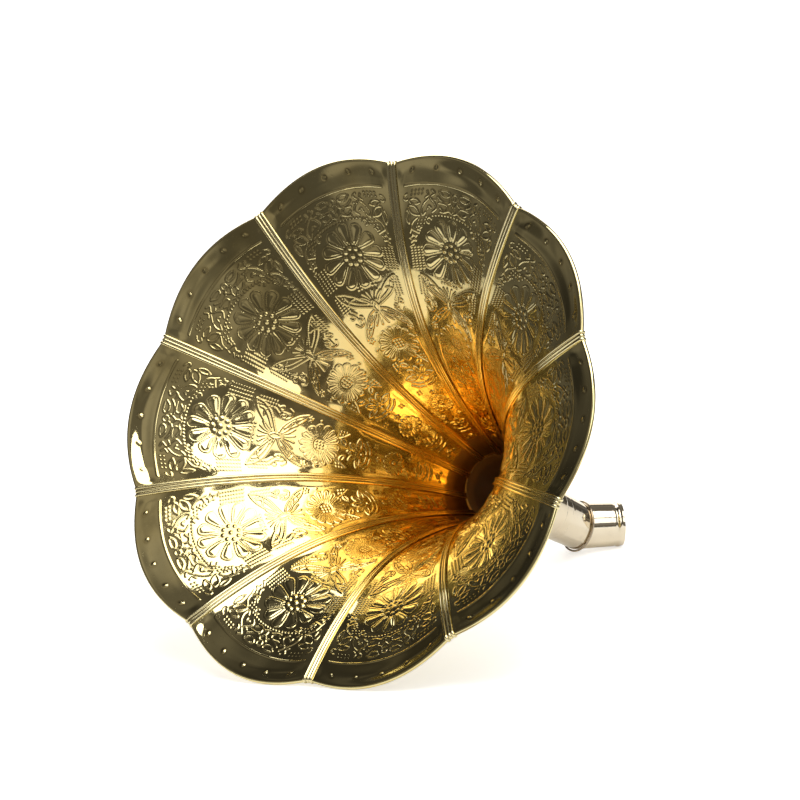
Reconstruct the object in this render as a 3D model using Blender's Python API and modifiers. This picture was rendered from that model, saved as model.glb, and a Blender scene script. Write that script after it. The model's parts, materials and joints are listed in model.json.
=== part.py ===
"""Gramophone horn of ten brass petals, lying on its side with its mitred elbow.

The bell is a flare of ten petals. A wire runs inside their rolled rim, and every seam between two
petals is closed by a bead strip inside and a backing strip outside. The petals end on a neck tube,
and the neck turns on the straight leg of a two-piece elbow, which ends in a spigot.

Metres, +Z up. Everything is drawn in the horn's own frame, whose +Z runs along the bell's axis
towards the mouth from the end of the neck. An empty on that axis then lays the horn down, so that
two lobes of the rim and the elbow rest on the plane Z = 0.
"""

import math

import bmesh
import bpy
from mathutils import Matrix, Vector

# Bell
PETALS = 10
MOUTH_RADIUS = 0.2600       # axis to the seams at the rim
THROAT_RADIUS = 0.0328      # axis to the petals where they meet the neck
BELL_DEPTH = 0.2855         # along the axis, seams at the rim to the throat
FLARE_RATE = 3.43           # how sharply the flare opens towards the rim
FLARE_CONE = 0.30           # share of the flare that is a straight cone
LOBE_REACH = 0.0129         # how far a petal's lobe reaches past its seams
PETAL_BULGE = 0.0028        # how far a petal bows out between its seams, at the rim
SHEET = 0.0006              # brass sheet of the petals

# Rolled rim
HEM_RADIUS = 0.0020         # middle of the sheet to the middle of the roll
HEM_TURN = math.radians(270)
WIRE_RADIUS = 0.0012

# Seams
STRIP_RIM_WIDTH = 0.0110
STRIP_THROAT_WIDTH = 0.0070
STRIP_THICKNESS = 0.0010
STRIP_WRAP = math.radians(190)
BACKING_SHARE = 0.75        # backing strip's width over the bead strip's
SEAM_GAP = 0.0020           # between the edges of two petals

# Neck, ferrule and elbow
TUBE_WALL = 0.0008
NECK_LENGTH = 0.0963        # throat to the neck's end
NECK_END_RADIUS = 0.0284
NECK_OVERLAP = 0.0100       # neck inside the petals, along the axis
SOCKET_DEPTH = 0.0300       # elbow inside the neck
FERRULE_FRONT = 0.0120      # ferrule over the petals, along the axis
FERRULE_BACK = 0.0080       # ferrule over the neck
LEG_LENGTH = 0.0698         # neck's end to the mitre's centre
MITRE_RADIUS = 0.0251
ELBOW_BEND = math.radians(50)
ELBOW_HEADING = math.radians(17)    # about the axis, from the horn's +X towards its +Y
SPIGOT_LENGTH = 0.0488      # mitre's centre to the spigot's end
SPIGOT_RADIUS = 0.0236
LIP_LENGTH = 0.0030         # plain end outside the bead
BEAD_LENGTH = 0.0040
BEAD_HEIGHT = 0.0008
GROOVE_LENGTH = 0.0030
GROOVE_DEPTH = 0.0006
RING_RADIUS = 0.0015        # wire of the ring round the mitre

CLEARANCE = 0.0003          # between pieces that touch
FERRULE_CLEARANCE = 0.0005  # between the ferrule and the petals' outer facets

# Facets
PETAL_COLUMNS = 6
PETAL_ROWS = 12
HEM_STEPS = 6
WRAP_STEPS = 5
TUBE_STEPS = 32
RING_STEPS = 28
FLARE_STEPS = 200

HALF_PITCH = math.pi / PETALS
MOUTH_Z = NECK_LENGTH + BELL_DEPTH
DOWN_SEAM = PETALS // 2 + 1


# ---------------------------------------------------------------- the flare

def flare_radius(depth):
    """Radius of the bell at a depth below the seams' ends at the rim."""
    rise = 1.0 - depth / BELL_DEPTH
    curve = (math.exp(FLARE_RATE * rise) - 1.0) / (math.exp(FLARE_RATE) - 1.0)
    share = FLARE_CONE * rise + (1.0 - FLARE_CONE) * curve
    return THROAT_RADIUS + (MOUTH_RADIUS - THROAT_RADIUS) * share


def flare_table():
    """Arc length from the seams' ends and depth, from past the lobes to the throat."""
    start = -LOBE_REACH
    step = (BELL_DEPTH - start) / FLARE_STEPS
    depths = [start + step * i for i in range(FLARE_STEPS + 1)]
    arcs = [0.0]
    for first, second in zip(depths, depths[1:]):
        arcs.append(arcs[-1] + math.hypot(second - first, flare_radius(second) - flare_radius(first)))
    zero = next(i for i, depth in enumerate(depths) if depth > 0.0)
    share = -depths[zero - 1] / step
    offset = arcs[zero - 1] + share * (arcs[zero] - arcs[zero - 1])
    return [arc - offset for arc in arcs], depths


FLARE_ARCS, FLARE_DEPTHS = flare_table()
FLARE_LENGTH = FLARE_ARCS[-1]


def flare_depth(arc):
    """Depth below the seams' ends of the point at an arc length along the flare."""
    last = len(FLARE_ARCS) - 2
    i = min(max(sum(1 for value in FLARE_ARCS if value <= arc) - 1, 0), last)
    share = (arc - FLARE_ARCS[i]) / (FLARE_ARCS[i + 1] - FLARE_ARCS[i])
    return FLARE_DEPTHS[i] + share * (FLARE_DEPTHS[i + 1] - FLARE_DEPTHS[i])


def arc_at_depth(depth):
    """Arc length along the flare at a depth below the seams' ends."""
    step = FLARE_DEPTHS[1] - FLARE_DEPTHS[0]
    i = min(int((depth - FLARE_DEPTHS[0]) / step), len(FLARE_ARCS) - 2)
    share = (depth - FLARE_DEPTHS[i]) / step
    return FLARE_ARCS[i] + share * (FLARE_ARCS[i + 1] - FLARE_ARCS[i])


def flare_normal(depth):
    """Outward normal of the flare as (radial, towards the mouth) components."""
    small = BELL_DEPTH / 1000.0
    slope = (flare_radius(depth + small) - flare_radius(depth - small)) / (2.0 * small)
    length = math.hypot(1.0, slope)
    return 1.0 / length, slope / length


def seam_angle(seam):
    """Angle of a seam about the axis; seams count clockwise as seen from the front."""
    return -0.5 * math.pi - 2.0 * HALF_PITCH * (seam - DOWN_SEAM)


def lobe(angle):
    """1 in the middle of a petal and 0 on its seams."""
    turns = (angle - seam_angle(1)) / (2.0 * HALF_PITCH)
    return math.sin(math.pi * (turns - math.floor(turns)))


def bell_point(arc, angle, lift):
    """Point on the bell, with lift along the outward normal from the middle of the sheet."""
    depth = flare_depth(arc)
    radius = flare_radius(depth)
    share = (radius - THROAT_RADIUS) / (MOUTH_RADIUS - THROAT_RADIUS)
    out, up = flare_normal(depth)
    height = lift + PETAL_BULGE * share * lobe(angle)
    radius += out * height
    return Vector((radius * math.cos(angle), radius * math.sin(angle), MOUTH_Z - depth + up * height))


def lobed_arc(run, angle):
    """Arc length at a run of 0 at the lobed rim to 1 at the throat."""
    return run * FLARE_LENGTH - LOBE_REACH * lobe(angle) * (1.0 - run) ** 3


def rim_frame(angle):
    """Point on the rim's edge at an angle, with its outward and backward directions."""
    small = 0.001
    edge = bell_point(lobed_arc(0.0, angle), angle, 0.0)
    ahead = bell_point(lobed_arc(0.0, angle + small), angle + small, 0.0)
    behind = bell_point(lobed_arc(0.0, angle - small), angle - small, 0.0)
    along = (ahead - behind).normalized()
    outward = edge - bell_point(lobed_arc(small, angle), angle, 0.0)
    outward = (outward - along * outward.dot(along)).normalized()
    return edge, outward, along.cross(outward)


def rolled(frame, radius, turn):
    """Point on a roll about the hem's centre; turn 0 is on the inner face, then over the rim."""
    edge, outward, back = frame
    centre = edge + HEM_RADIUS * back
    return centre + radius * (math.sin(turn) * outward - math.cos(turn) * back)


def strip_half_width(run):
    """Half the width of a bead strip at a run of 0 at the rim to 1 at the throat."""
    return 0.5 * (STRIP_RIM_WIDTH + run * (STRIP_THROAT_WIDTH - STRIP_RIM_WIDTH))


def run_radius(run):
    """Radius of the seams at a run of 0 at the rim to 1 at the throat."""
    return flare_radius(flare_depth(run * FLARE_LENGTH))


def petal_angles(petal, run):
    """Angles of a petal's columns: its edges, the edges of the strips on it, and evenly between."""
    radius = run_radius(run)
    edge = HALF_PITCH - 0.5 * SEAM_GAP / radius
    strip = HALF_PITCH - strip_half_width(run) / radius
    inner = PETAL_COLUMNS - 2
    swings = [strip * (1.0 - 2.0 * i / inner) for i in range(inner + 1)]
    middle = seam_angle(petal) - HALF_PITCH
    return [middle + swing for swing in [edge] + swings + [-edge]]


# ---------------------------------------------------------------- the elbow

LEG_RADIUS = NECK_END_RADIUS - TUBE_WALL - CLEARANCE
MITRE_CENTRE = Vector((0.0, 0.0, -LEG_LENGTH))
SPIGOT_DIRECTION = Vector((math.sin(ELBOW_BEND) * math.cos(ELBOW_HEADING),
                           math.sin(ELBOW_BEND) * math.sin(ELBOW_HEADING),
                           -math.cos(ELBOW_BEND)))
SPIGOT_END = MITRE_CENTRE + SPIGOT_LENGTH * SPIGOT_DIRECTION
SPIGOT_BEAD_RADIUS = SPIGOT_RADIUS + BEAD_HEIGHT


def ring_path():
    """Centreline of the ring round the mitre, clear of the leg and of the spigot as each widens."""
    slope = math.tan(0.5 * ELBOW_BEND)
    leg_spread = (LEG_RADIUS - MITRE_RADIUS) / LEG_LENGTH
    spigot_spread = (SPIGOT_RADIUS - MITRE_RADIUS) / SPIGOT_LENGTH
    lean = 0.5 * ELBOW_BEND + math.atan(max(leg_spread, spigot_spread, 0.0))
    off = (RING_RADIUS + CLEARANCE) / math.cos(lean)
    points = []
    for i in range(RING_STEPS):
        angle = 2.0 * math.pi * i / RING_STEPS
        toward = math.cos(angle - ELBOW_HEADING)
        radius = MITRE_RADIUS / (1.0 - slope * max(leg_spread * toward, spigot_spread * toward)) + off
        points.append(MITRE_CENTRE + Vector((radius * math.cos(angle), radius * math.sin(angle),
                                             radius * slope * toward)))
    return points


def spigot_frame():
    """Matrix whose +Z is the spigot's direction, with its origin at the mitre's centre."""
    turn = Matrix.Rotation(ELBOW_HEADING, 4, "Z") @ Matrix.Rotation(math.pi - ELBOW_BEND, 4, "Y")
    return Matrix.Translation(MITRE_CENTRE) @ turn


# ---------------------------------------------------------------- how it lies

def height_lying(point, tilt):
    """Height of a point of the horn's frame once the horn lies with its axis at this tilt."""
    return point.y * math.cos(tilt) + point.z * math.sin(tilt)


def rim_low(tilt):
    """Lowest height of the rolled rim at this tilt."""
    roll = HEM_RADIUS + 0.5 * SHEET
    frames = [rim_frame(angle) for angle in petal_angles(DOWN_SEAM, 0.0)]
    return min(height_lying(edge + HEM_RADIUS * back, tilt) for edge, _, back in frames) - roll


def elbow_low(tilt):
    """Lowest height of the elbow at this tilt, at its mitre ring or at the spigot's bead."""
    ring = min(height_lying(point, tilt) for point in ring_path()) - RING_RADIUS
    centre = SPIGOT_END - (LIP_LENGTH + 0.5 * BEAD_LENGTH) * SPIGOT_DIRECTION
    rise = height_lying(SPIGOT_DIRECTION, tilt)
    bead = height_lying(centre, tilt) - SPIGOT_BEAD_RADIUS * math.sqrt(1.0 - rise * rise)
    return min(ring, bead)


def rest_tilt():
    """Tilt at which the rim and the elbow touch the same level surface."""
    low, high = 0.0, 0.25 * math.pi
    while high - low > 1e-9:
        middle = 0.5 * (low + high)
        if rim_low(middle) < elbow_low(middle):
            low = middle
        else:
            high = middle
    return low


TILT = rest_tilt()


def reach_lying(point):
    """How far behind the horn's origin a point is once the horn lies at rest."""
    return point.y * math.sin(TILT) - point.z * math.cos(TILT)


def resting_place():
    """Where the horn's origin goes, so that the whole stands centred on the world's origin."""
    front = min(reach_lying(edge + HEM_RADIUS * back)
                for edge, _, back in map(rim_frame, petal_angles(DOWN_SEAM, 0.0)))
    front -= HEM_RADIUS + 0.5 * SHEET
    lean = math.sqrt(1.0 - reach_lying(SPIGOT_DIRECTION) ** 2)
    back = reach_lying(SPIGOT_END) + SPIGOT_RADIUS * lean
    return Vector((0.0, -0.5 * (front + back), -min(rim_low(TILT), elbow_low(TILT))))


# ---------------------------------------------------------------- Blender helpers

def clear_scene():
    """Remove every object of the open scene."""
    for item in list(bpy.data.objects):
        bpy.data.objects.remove(item, do_unlink=True)


def make_collection(name):
    """New collection in the scene."""
    collection = bpy.data.collections.new(name)
    bpy.context.scene.collection.children.link(collection)
    return collection


def brass(name, color, roughness):
    """Plain brass material."""
    material = bpy.data.materials.new(name)
    material.use_nodes = True
    shader = material.node_tree.nodes["Principled BSDF"]
    shader.inputs["Base Color"].default_value = (*color, 1.0)
    shader.inputs["Metallic"].default_value = 1.0
    shader.inputs["Roughness"].default_value = roughness
    return material


def place(piece, material, collection, frame, location=None):
    """Give a piece its material, put it in its collection and hang it on the horn's frame."""
    piece.data.materials.append(material)
    collection.objects.link(piece)
    piece.parent = frame
    if location is not None:
        piece.matrix_local = location
    return piece


def grid_mesh(name, rows):
    """Open mesh through rows of points."""
    mesh = bpy.data.meshes.new(name)
    form = bmesh.new()
    lines = [[form.verts.new(point) for point in row] for row in rows]
    for near, far in zip(lines, lines[1:]):
        for i in range(len(near) - 1):
            form.faces.new((near[i], near[i + 1], far[i + 1], far[i]))
    form.to_mesh(mesh)
    form.free()
    return mesh


def shell(name, rows, thickness):
    """Sheet of even thickness about an open grid of points."""
    mesh = grid_mesh(name, rows)
    mesh.shade_smooth()
    piece = bpy.data.objects.new(name, mesh)
    wall = piece.modifiers.new("wall", "SOLIDIFY")
    wall.thickness = thickness
    wall.offset = 0.0
    wall.use_even_offset = True
    return piece


def turned(name, outline, steps):
    """Solid of revolution from a closed outline of (radius, height), outer side first, downwards."""
    mesh = bpy.data.meshes.new(name)
    form = bmesh.new()
    corners = [form.verts.new((radius, 0.0, height)) for radius, height in outline]
    for near, far in zip(corners, corners[1:] + corners[:1]):
        form.edges.new((near, far))
    form.to_mesh(mesh)
    form.free()
    piece = bpy.data.objects.new(name, mesh)
    screw = piece.modifiers.new("turn", "SCREW")
    screw.steps = steps
    screw.render_steps = steps
    screw.use_merge_vertices = True
    screw.merge_threshold = 0.00001
    return piece


def wire(name, points, radius, resolution):
    """Closed round wire through points."""
    curve = bpy.data.curves.new(name, "CURVE")
    curve.dimensions = "3D"
    curve.bevel_depth = radius
    curve.bevel_resolution = resolution
    curve.use_fill_caps = True
    spline = curve.splines.new("POLY")
    spline.points.add(len(points) - 1)
    for knot, point in zip(spline.points, points):
        knot.co = (*point, 1.0)
    spline.use_cyclic_u = True
    return bpy.data.objects.new(name, curve)


def cut_at_mitre(piece, cutters, frame, keep):
    """Cut a leg of the elbow at the mitre plane, half a clearance short of it."""
    size = 4.0 * (LEG_LENGTH + SPIGOT_LENGTH)
    normal = (SPIGOT_DIRECTION - Vector((0.0, 0.0, 1.0))).normalized()
    away = normal if keep == "leg" else -normal
    mesh = bpy.data.meshes.new(piece.name + "_mitre_cut")
    form = bmesh.new()
    bmesh.ops.create_cube(form, size=size)
    form.to_mesh(mesh)
    form.free()
    cutter = bpy.data.objects.new(mesh.name, mesh)
    cutters.objects.link(cutter)
    cutter.parent = frame
    turn = away.to_track_quat("Z", "Y").to_matrix().to_4x4()
    centre = MITRE_CENTRE + away * (0.5 * size - 0.5 * CLEARANCE)
    cutter.matrix_local = Matrix.Translation(centre) @ turn
    cutter.hide_render = True
    cutter.display_type = "WIRE"
    cut = piece.modifiers.new("mitre", "BOOLEAN")
    cut.operation = "DIFFERENCE"
    cut.solver = "EXACT"
    cut.object = cutter


# ---------------------------------------------------------------- the pieces

def petal_rows(petal):
    """Middle of a petal's sheet, from the end of its rolled hem to the throat."""
    frames = [rim_frame(angle) for angle in petal_angles(petal, 0.0)]
    rows = []
    for i in range(HEM_STEPS, 0, -1):
        turn = HEM_TURN * i / HEM_STEPS
        rows.append([rolled(frame, HEM_RADIUS, turn) for frame in frames])
    for i in range(PETAL_ROWS + 1):
        run = i / PETAL_ROWS
        rows.append([bell_point(lobed_arc(run, angle), angle, 0.0) for angle in petal_angles(petal, run)])
    return rows


def strip_station(seam, lift, share, station):
    """Three points across a seam at a row of the petals, a lift off the bell."""
    run = station / PETAL_ROWS
    swing = share * strip_half_width(run) / run_radius(run)
    angles = [seam_angle(seam) - side * swing for side in (-1, 0, 1)]
    return [bell_point(lobed_arc(run, angle), angle, lift) for angle in angles]


def strip_rows(seam, lift, share, first_run, last_run):
    """Grid of three lines along a seam, flat where the petals' facets are flat."""
    inner = [i for i in range(PETAL_ROWS + 1) if first_run < i / PETAL_ROWS < last_run]
    rows = []
    for station in [first_run * PETAL_ROWS] + inner + [last_run * PETAL_ROWS]:
        base = min(int(station), PETAL_ROWS - 1)
        near = strip_station(seam, lift, share, base)
        far = strip_station(seam, lift, share, base + 1)
        rows.append([start.lerp(end, station - base) for start, end in zip(near, far)])
    return rows


def bead_strip_rows(seam):
    """Middle of a bead strip: from its end behind the rolled rim, over it, and down inside the bell."""
    off = 0.5 * SHEET + CLEARANCE + 0.5 * STRIP_THICKNESS
    last = arc_at_depth(BELL_DEPTH - NECK_OVERLAP) / FLARE_LENGTH
    last -= 2.0 * CLEARANCE / FLARE_LENGTH
    swing = 0.5 * STRIP_RIM_WIDTH / MOUTH_RADIUS
    frames = [rim_frame(seam_angle(seam) - side * swing) for side in (-1, 0, 1)]
    rows = []
    for i in range(WRAP_STEPS, 0, -1):
        turn = STRIP_WRAP * i / WRAP_STEPS
        rows.append([rolled(frame, HEM_RADIUS + off, turn) for frame in frames])
    return rows + strip_rows(seam, -off, 1.0, 0.0, last)


def backing_rows(seam):
    """Middle of a backing strip, behind the petals' edges from the hem to the ferrule."""
    off = 0.5 * SHEET + CLEARANCE + 0.5 * STRIP_THICKNESS
    first = (2.0 * HEM_RADIUS + SHEET) / FLARE_LENGTH
    last = arc_at_depth(BELL_DEPTH - FERRULE_FRONT) / FLARE_LENGTH
    last -= 2.0 * CLEARANCE / FLARE_LENGTH
    return strip_rows(seam, off, BACKING_SHARE, first, last)


def rim_wire_points():
    """Centreline of the wire inside the rolled rim, right round the mouth."""
    points = []
    for petal in range(1, PETALS + 1):
        for angle in petal_angles(petal, 0.0):
            edge, _, back = rim_frame(angle)
            points.append(edge + HEM_RADIUS * back)
    return points


def flare_outline(lift, front, steps):
    """Points beside the flare over its last stretch, from front before the throat to the throat."""
    points = []
    for i in range(steps + 1):
        depth = BELL_DEPTH - front + front * i / steps
        out, up = flare_normal(depth)
        points.append((flare_radius(depth) + out * lift, MOUTH_Z - depth + up * lift))
    return points


def neck_outer(height):
    """Outer radius of the neck tube at a height above its end."""
    start = flare_outline(-(0.5 * SHEET + CLEARANCE), NECK_OVERLAP, 1)[-1]
    if height <= SOCKET_DEPTH:
        return NECK_END_RADIUS
    share = (height - SOCKET_DEPTH) / (start[1] - SOCKET_DEPTH)
    return NECK_END_RADIUS + share * (start[0] - NECK_END_RADIUS)


def neck_outline():
    """Wall of the neck tube: a flange inside the petals, a taper and a straight socket."""
    skin = 0.5 * SHEET + CLEARANCE
    outer = flare_outline(-skin, NECK_OVERLAP, 2)
    inner = flare_outline(-skin - TUBE_WALL, NECK_OVERLAP, 2)
    outer += [(NECK_END_RADIUS, SOCKET_DEPTH), (NECK_END_RADIUS, 0.0)]
    bore = NECK_END_RADIUS - TUBE_WALL
    inner += [(bore, SOCKET_DEPTH), (bore, 0.0)]
    return outer + inner[::-1]


def ferrule_outline():
    """Wall of the ferrule: outside the petals' ends, then outside the neck."""
    skin = 0.5 * SHEET + FERRULE_CLEARANCE
    inner = flare_outline(skin, FERRULE_FRONT, 2)
    outer = flare_outline(skin + TUBE_WALL, FERRULE_FRONT, 2)
    end = NECK_LENGTH - FERRULE_BACK
    inner.append((neck_outer(end) + CLEARANCE, end))
    outer.append((neck_outer(end) + CLEARANCE + TUBE_WALL, end))
    return outer + inner[::-1]


def leg_outline():
    """Wall of the elbow's leg, from inside the neck to past the mitre."""
    past = LEG_LENGTH + 2.0 * MITRE_RADIUS * math.tan(0.5 * ELBOW_BEND)
    end = LEG_RADIUS + (MITRE_RADIUS - LEG_RADIUS) * past / LEG_LENGTH
    outer = [(LEG_RADIUS, SOCKET_DEPTH), (LEG_RADIUS, 0.0), (end, -past)]
    inner = [(radius - TUBE_WALL, height) for radius, height in outer]
    return outer + inner[::-1]


def spigot_outline():
    """Wall of the spigot along its own +Z, from its beaded end back to before the mitre."""
    past = 2.0 * MITRE_RADIUS * math.tan(0.5 * ELBOW_BEND)
    start = MITRE_RADIUS + (MITRE_RADIUS - SPIGOT_RADIUS) * past / SPIGOT_LENGTH
    bead = SPIGOT_LENGTH - LIP_LENGTH
    groove = bead - BEAD_LENGTH
    outer = [
        (SPIGOT_RADIUS, SPIGOT_LENGTH),
        (SPIGOT_RADIUS, bead),
        (SPIGOT_BEAD_RADIUS, bead - 0.3 * BEAD_LENGTH),
        (SPIGOT_BEAD_RADIUS, bead - 0.7 * BEAD_LENGTH),
        (SPIGOT_RADIUS - GROOVE_DEPTH, groove),
        (SPIGOT_RADIUS - GROOVE_DEPTH, groove - 0.5 * GROOVE_LENGTH),
        (SPIGOT_RADIUS, groove - GROOVE_LENGTH),
        (start, -past),
    ]
    bore = SPIGOT_RADIUS - GROOVE_DEPTH - TUBE_WALL
    inner = [(bore, SPIGOT_LENGTH), (bore, groove - GROOVE_LENGTH), (start - TUBE_WALL, -past)]
    return outer + inner[::-1]


def build():
    """Make every piece."""
    clear_scene()
    parts = make_collection("gramophone_horn")
    cutters = make_collection("cutters")

    frame = bpy.data.objects.new("horn_axis", None)
    parts.objects.link(frame)
    frame.location = resting_place()
    frame.rotation_euler = (0.5 * math.pi - TILT, 0.0, 0.0)

    petal_brass = brass("petal_brass", (0.62, 0.46, 0.17), 0.22)
    strip_brass = brass("strip_brass", (0.72, 0.55, 0.22), 0.20)
    tube_brass = brass("tube_brass", (0.82, 0.70, 0.45), 0.18)
    dark_brass = brass("dark_brass", (0.30, 0.22, 0.10), 0.35)

    for number in range(1, PETALS + 1):
        petal = shell(f"petal_{number:02d}", petal_rows(number), SHEET)
        place(petal, petal_brass, parts, frame)
        strip = shell(f"seam_strip_{number:02d}", bead_strip_rows(number), STRIP_THICKNESS)
        place(strip, strip_brass, parts, frame)
        backing = shell(f"seam_backing_{number:02d}", backing_rows(number), STRIP_THICKNESS)
        place(backing, strip_brass, parts, frame)
    place(wire("rim_wire", rim_wire_points(), WIRE_RADIUS, 1), dark_brass, parts, frame)
    place(turned("neck_tube", neck_outline(), TUBE_STEPS), tube_brass, parts, frame)
    place(turned("throat_ferrule", ferrule_outline(), TUBE_STEPS), dark_brass, parts, frame)

    leg = turned("elbow_leg", leg_outline(), TUBE_STEPS)
    cut_at_mitre(leg, cutters, frame, "leg")
    place(leg, tube_brass, parts, frame)
    spigot = turned("elbow_spigot", spigot_outline(), TUBE_STEPS)
    cut_at_mitre(spigot, cutters, frame, "spigot")
    place(spigot, tube_brass, parts, frame, spigot_frame())
    place(wire("mitre_ring", ring_path(), RING_RADIUS, 2), tube_brass, parts, frame)


build()
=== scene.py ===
"""Looks of a gramophone horn: ten embossed brass petals, their seams, and the mitred elbow.

Every piece of the bell is drawn flat and then bent onto the flare by one Geometry Nodes tree. On a
flat piece X is the distance round the bell from the middle of the piece, Y is the distance from the
throat towards the rim along the flare, and Z is the lift off the sheet's middle, away from the axis.
The bell's own frame has its +Z along the axis towards the mouth, from the end of the neck.
"""

import json
import logging
import math
from dataclasses import dataclass, field
from enum import Enum
from typing import Sequence

import bmesh
import bpy
import numpy as np
from mathutils import Euler, Matrix, Vector

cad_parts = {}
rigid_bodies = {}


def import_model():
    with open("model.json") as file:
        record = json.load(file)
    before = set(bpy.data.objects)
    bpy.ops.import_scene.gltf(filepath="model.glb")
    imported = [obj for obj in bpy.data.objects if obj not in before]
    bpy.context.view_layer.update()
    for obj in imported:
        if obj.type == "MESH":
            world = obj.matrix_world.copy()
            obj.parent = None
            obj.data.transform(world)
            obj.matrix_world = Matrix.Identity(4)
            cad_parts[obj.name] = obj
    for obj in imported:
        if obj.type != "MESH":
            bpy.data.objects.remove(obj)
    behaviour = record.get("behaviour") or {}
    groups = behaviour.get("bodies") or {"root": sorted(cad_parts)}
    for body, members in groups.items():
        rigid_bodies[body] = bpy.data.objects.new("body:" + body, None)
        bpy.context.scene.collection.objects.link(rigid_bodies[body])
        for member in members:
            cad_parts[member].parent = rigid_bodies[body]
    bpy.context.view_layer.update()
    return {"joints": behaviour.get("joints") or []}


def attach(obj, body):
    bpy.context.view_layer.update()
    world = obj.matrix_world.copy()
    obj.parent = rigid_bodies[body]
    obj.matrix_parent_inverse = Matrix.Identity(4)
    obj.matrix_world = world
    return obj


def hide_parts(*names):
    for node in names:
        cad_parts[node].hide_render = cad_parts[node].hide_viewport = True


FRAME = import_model()
LOG = logging.getLogger("gramophone_horn")

MILLIMETRE = 0.001
MM_PER_M = 1000.0
QUARTER_TURN = 0.5 * math.pi
FULL_TURN = 2.0 * math.pi

Points = Sequence[tuple[float, float]]
Color = tuple[float, float, float]


class Body(Enum):
    """Bodies of the frame."""

    ELBOW = "elbow"
    HORN = "horn"


class Slot(Enum):
    """Material slots of the record."""

    PETAL = "petal_brass"
    STRIP = "strip_brass"
    TUBE = "tube_brass"
    DARK = "dark_brass"


# ---------------------------------------------------------------- node trees

class Wire:
    """A number in a node tree, used in Python expressions that add its Math nodes."""

    def __init__(self, graph: "Graph", socket: bpy.types.NodeSocket) -> None:
        """Keep the socket and the graph it belongs to."""
        self.graph = graph
        self.socket = socket

    def _math(self, operation: str, *values: object) -> "Wire":
        """Add one Math node.

        Args:
            operation: the Math node's operation.
            values: its inputs, wires or numbers.

        Returns:
            The node's result.
        """
        inputs = dict(enumerate(values))
        return self.graph.wire(self.graph.add("ShaderNodeMath", {"operation": operation}, inputs))

    def __add__(self, other: object) -> "Wire":
        """Sum."""
        return self._math("ADD", self, other)

    def __radd__(self, other: object) -> "Wire":
        """Sum, with the number first."""
        return self._math("ADD", other, self)

    def __sub__(self, other: object) -> "Wire":
        """Difference."""
        return self._math("SUBTRACT", self, other)

    def __rsub__(self, other: object) -> "Wire":
        """Difference, with the number first."""
        return self._math("SUBTRACT", other, self)

    def __mul__(self, other: object) -> "Wire":
        """Product."""
        return self._math("MULTIPLY", self, other)

    def __rmul__(self, other: object) -> "Wire":
        """Product, with the number first."""
        return self._math("MULTIPLY", other, self)

    def __truediv__(self, other: object) -> "Wire":
        """Quotient."""
        return self._math("DIVIDE", self, other)

    def sine(self) -> "Wire":
        """Sine of an angle in radians."""
        return self._math("SINE", self)

    def cosine(self) -> "Wire":
        """Cosine of an angle in radians."""
        return self._math("COSINE", self)

    def size(self) -> "Wire":
        """Value without its sign."""
        return self._math("ABSOLUTE", self)

    def growth(self) -> "Wire":
        """Exponential."""
        return self._math("EXPONENT", self)

    def fit(self, low: float, high: float, start: float, end: float) -> "Wire":
        """Map low..high smoothly onto start..end, without going past them.

        Args:
            low: value that gives start.
            high: value that gives end.
            start: result at low.
            end: result at high.

        Returns:
            The mapped value.
        """
        settings = {"interpolation_type": "SMOOTHSTEP"}
        inputs = {"Value": self, "From Min": low, "From Max": high, "To Min": start, "To Max": end}
        return self.graph.wire(self.graph.add("ShaderNodeMapRange", settings, inputs), "Result")


class Graph:
    """Adds nodes to one tree."""

    def __init__(self, tree: bpy.types.NodeTree) -> None:
        """Work on this tree."""
        self.tree = tree

    def add(self, kind: str, settings: dict | None = None, inputs: dict | None = None) -> bpy.types.Node:
        """Add one node.

        Args:
            kind: the node's type.
            settings: properties set first; "ramp" is a list of (position, colour) stops.
            inputs: socket values or links, by name or number.

        Returns:
            The node.
        """
        node = self.tree.nodes.new(kind)
        for name, value in (settings or {}).items():
            if name == "ramp":
                self._stops(node.color_ramp, value)
            else:
                setattr(node, name, value)
        for key, value in (inputs or {}).items():
            if isinstance(value, Wire):
                self.tree.links.new(value.socket, node.inputs[key])
            elif isinstance(value, bpy.types.NodeSocket):
                self.tree.links.new(value, node.inputs[key])
            else:
                node.inputs[key].default_value = value
        return node

    def _stops(self, ramp: bpy.types.ColorRamp, stops: list) -> None:
        """Set the stops of a colour ramp.

        Args:
            ramp: the ramp, with its two first stops.
            stops: (position, colour) pairs, in order.
        """
        while len(ramp.elements) < len(stops):
            ramp.elements.new(0.5)
        for element, (position, color) in zip(ramp.elements, stops):
            element.position = position
            element.color = (*color, 1.0)

    def wire(self, node: bpy.types.Node, output: object = 0) -> Wire:
        """An output of a node as a wire."""
        return Wire(self, node.outputs[output])

    def split(self, vector: bpy.types.NodeSocket) -> list[Wire]:
        """The three parts of a vector."""
        node = self.add("ShaderNodeSeparateXYZ", None, {0: vector})
        return [self.wire(node, part) for part in range(3)]

    def toward(self, vector: bpy.types.NodeSocket, direction: Vector) -> Wire:
        """How far a vector points in a direction."""
        inputs = {0: vector, 1: direction}
        return self.wire(self.add("ShaderNodeVectorMath", {"operation": "DOT_PRODUCT"}, inputs), "Value")


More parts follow.
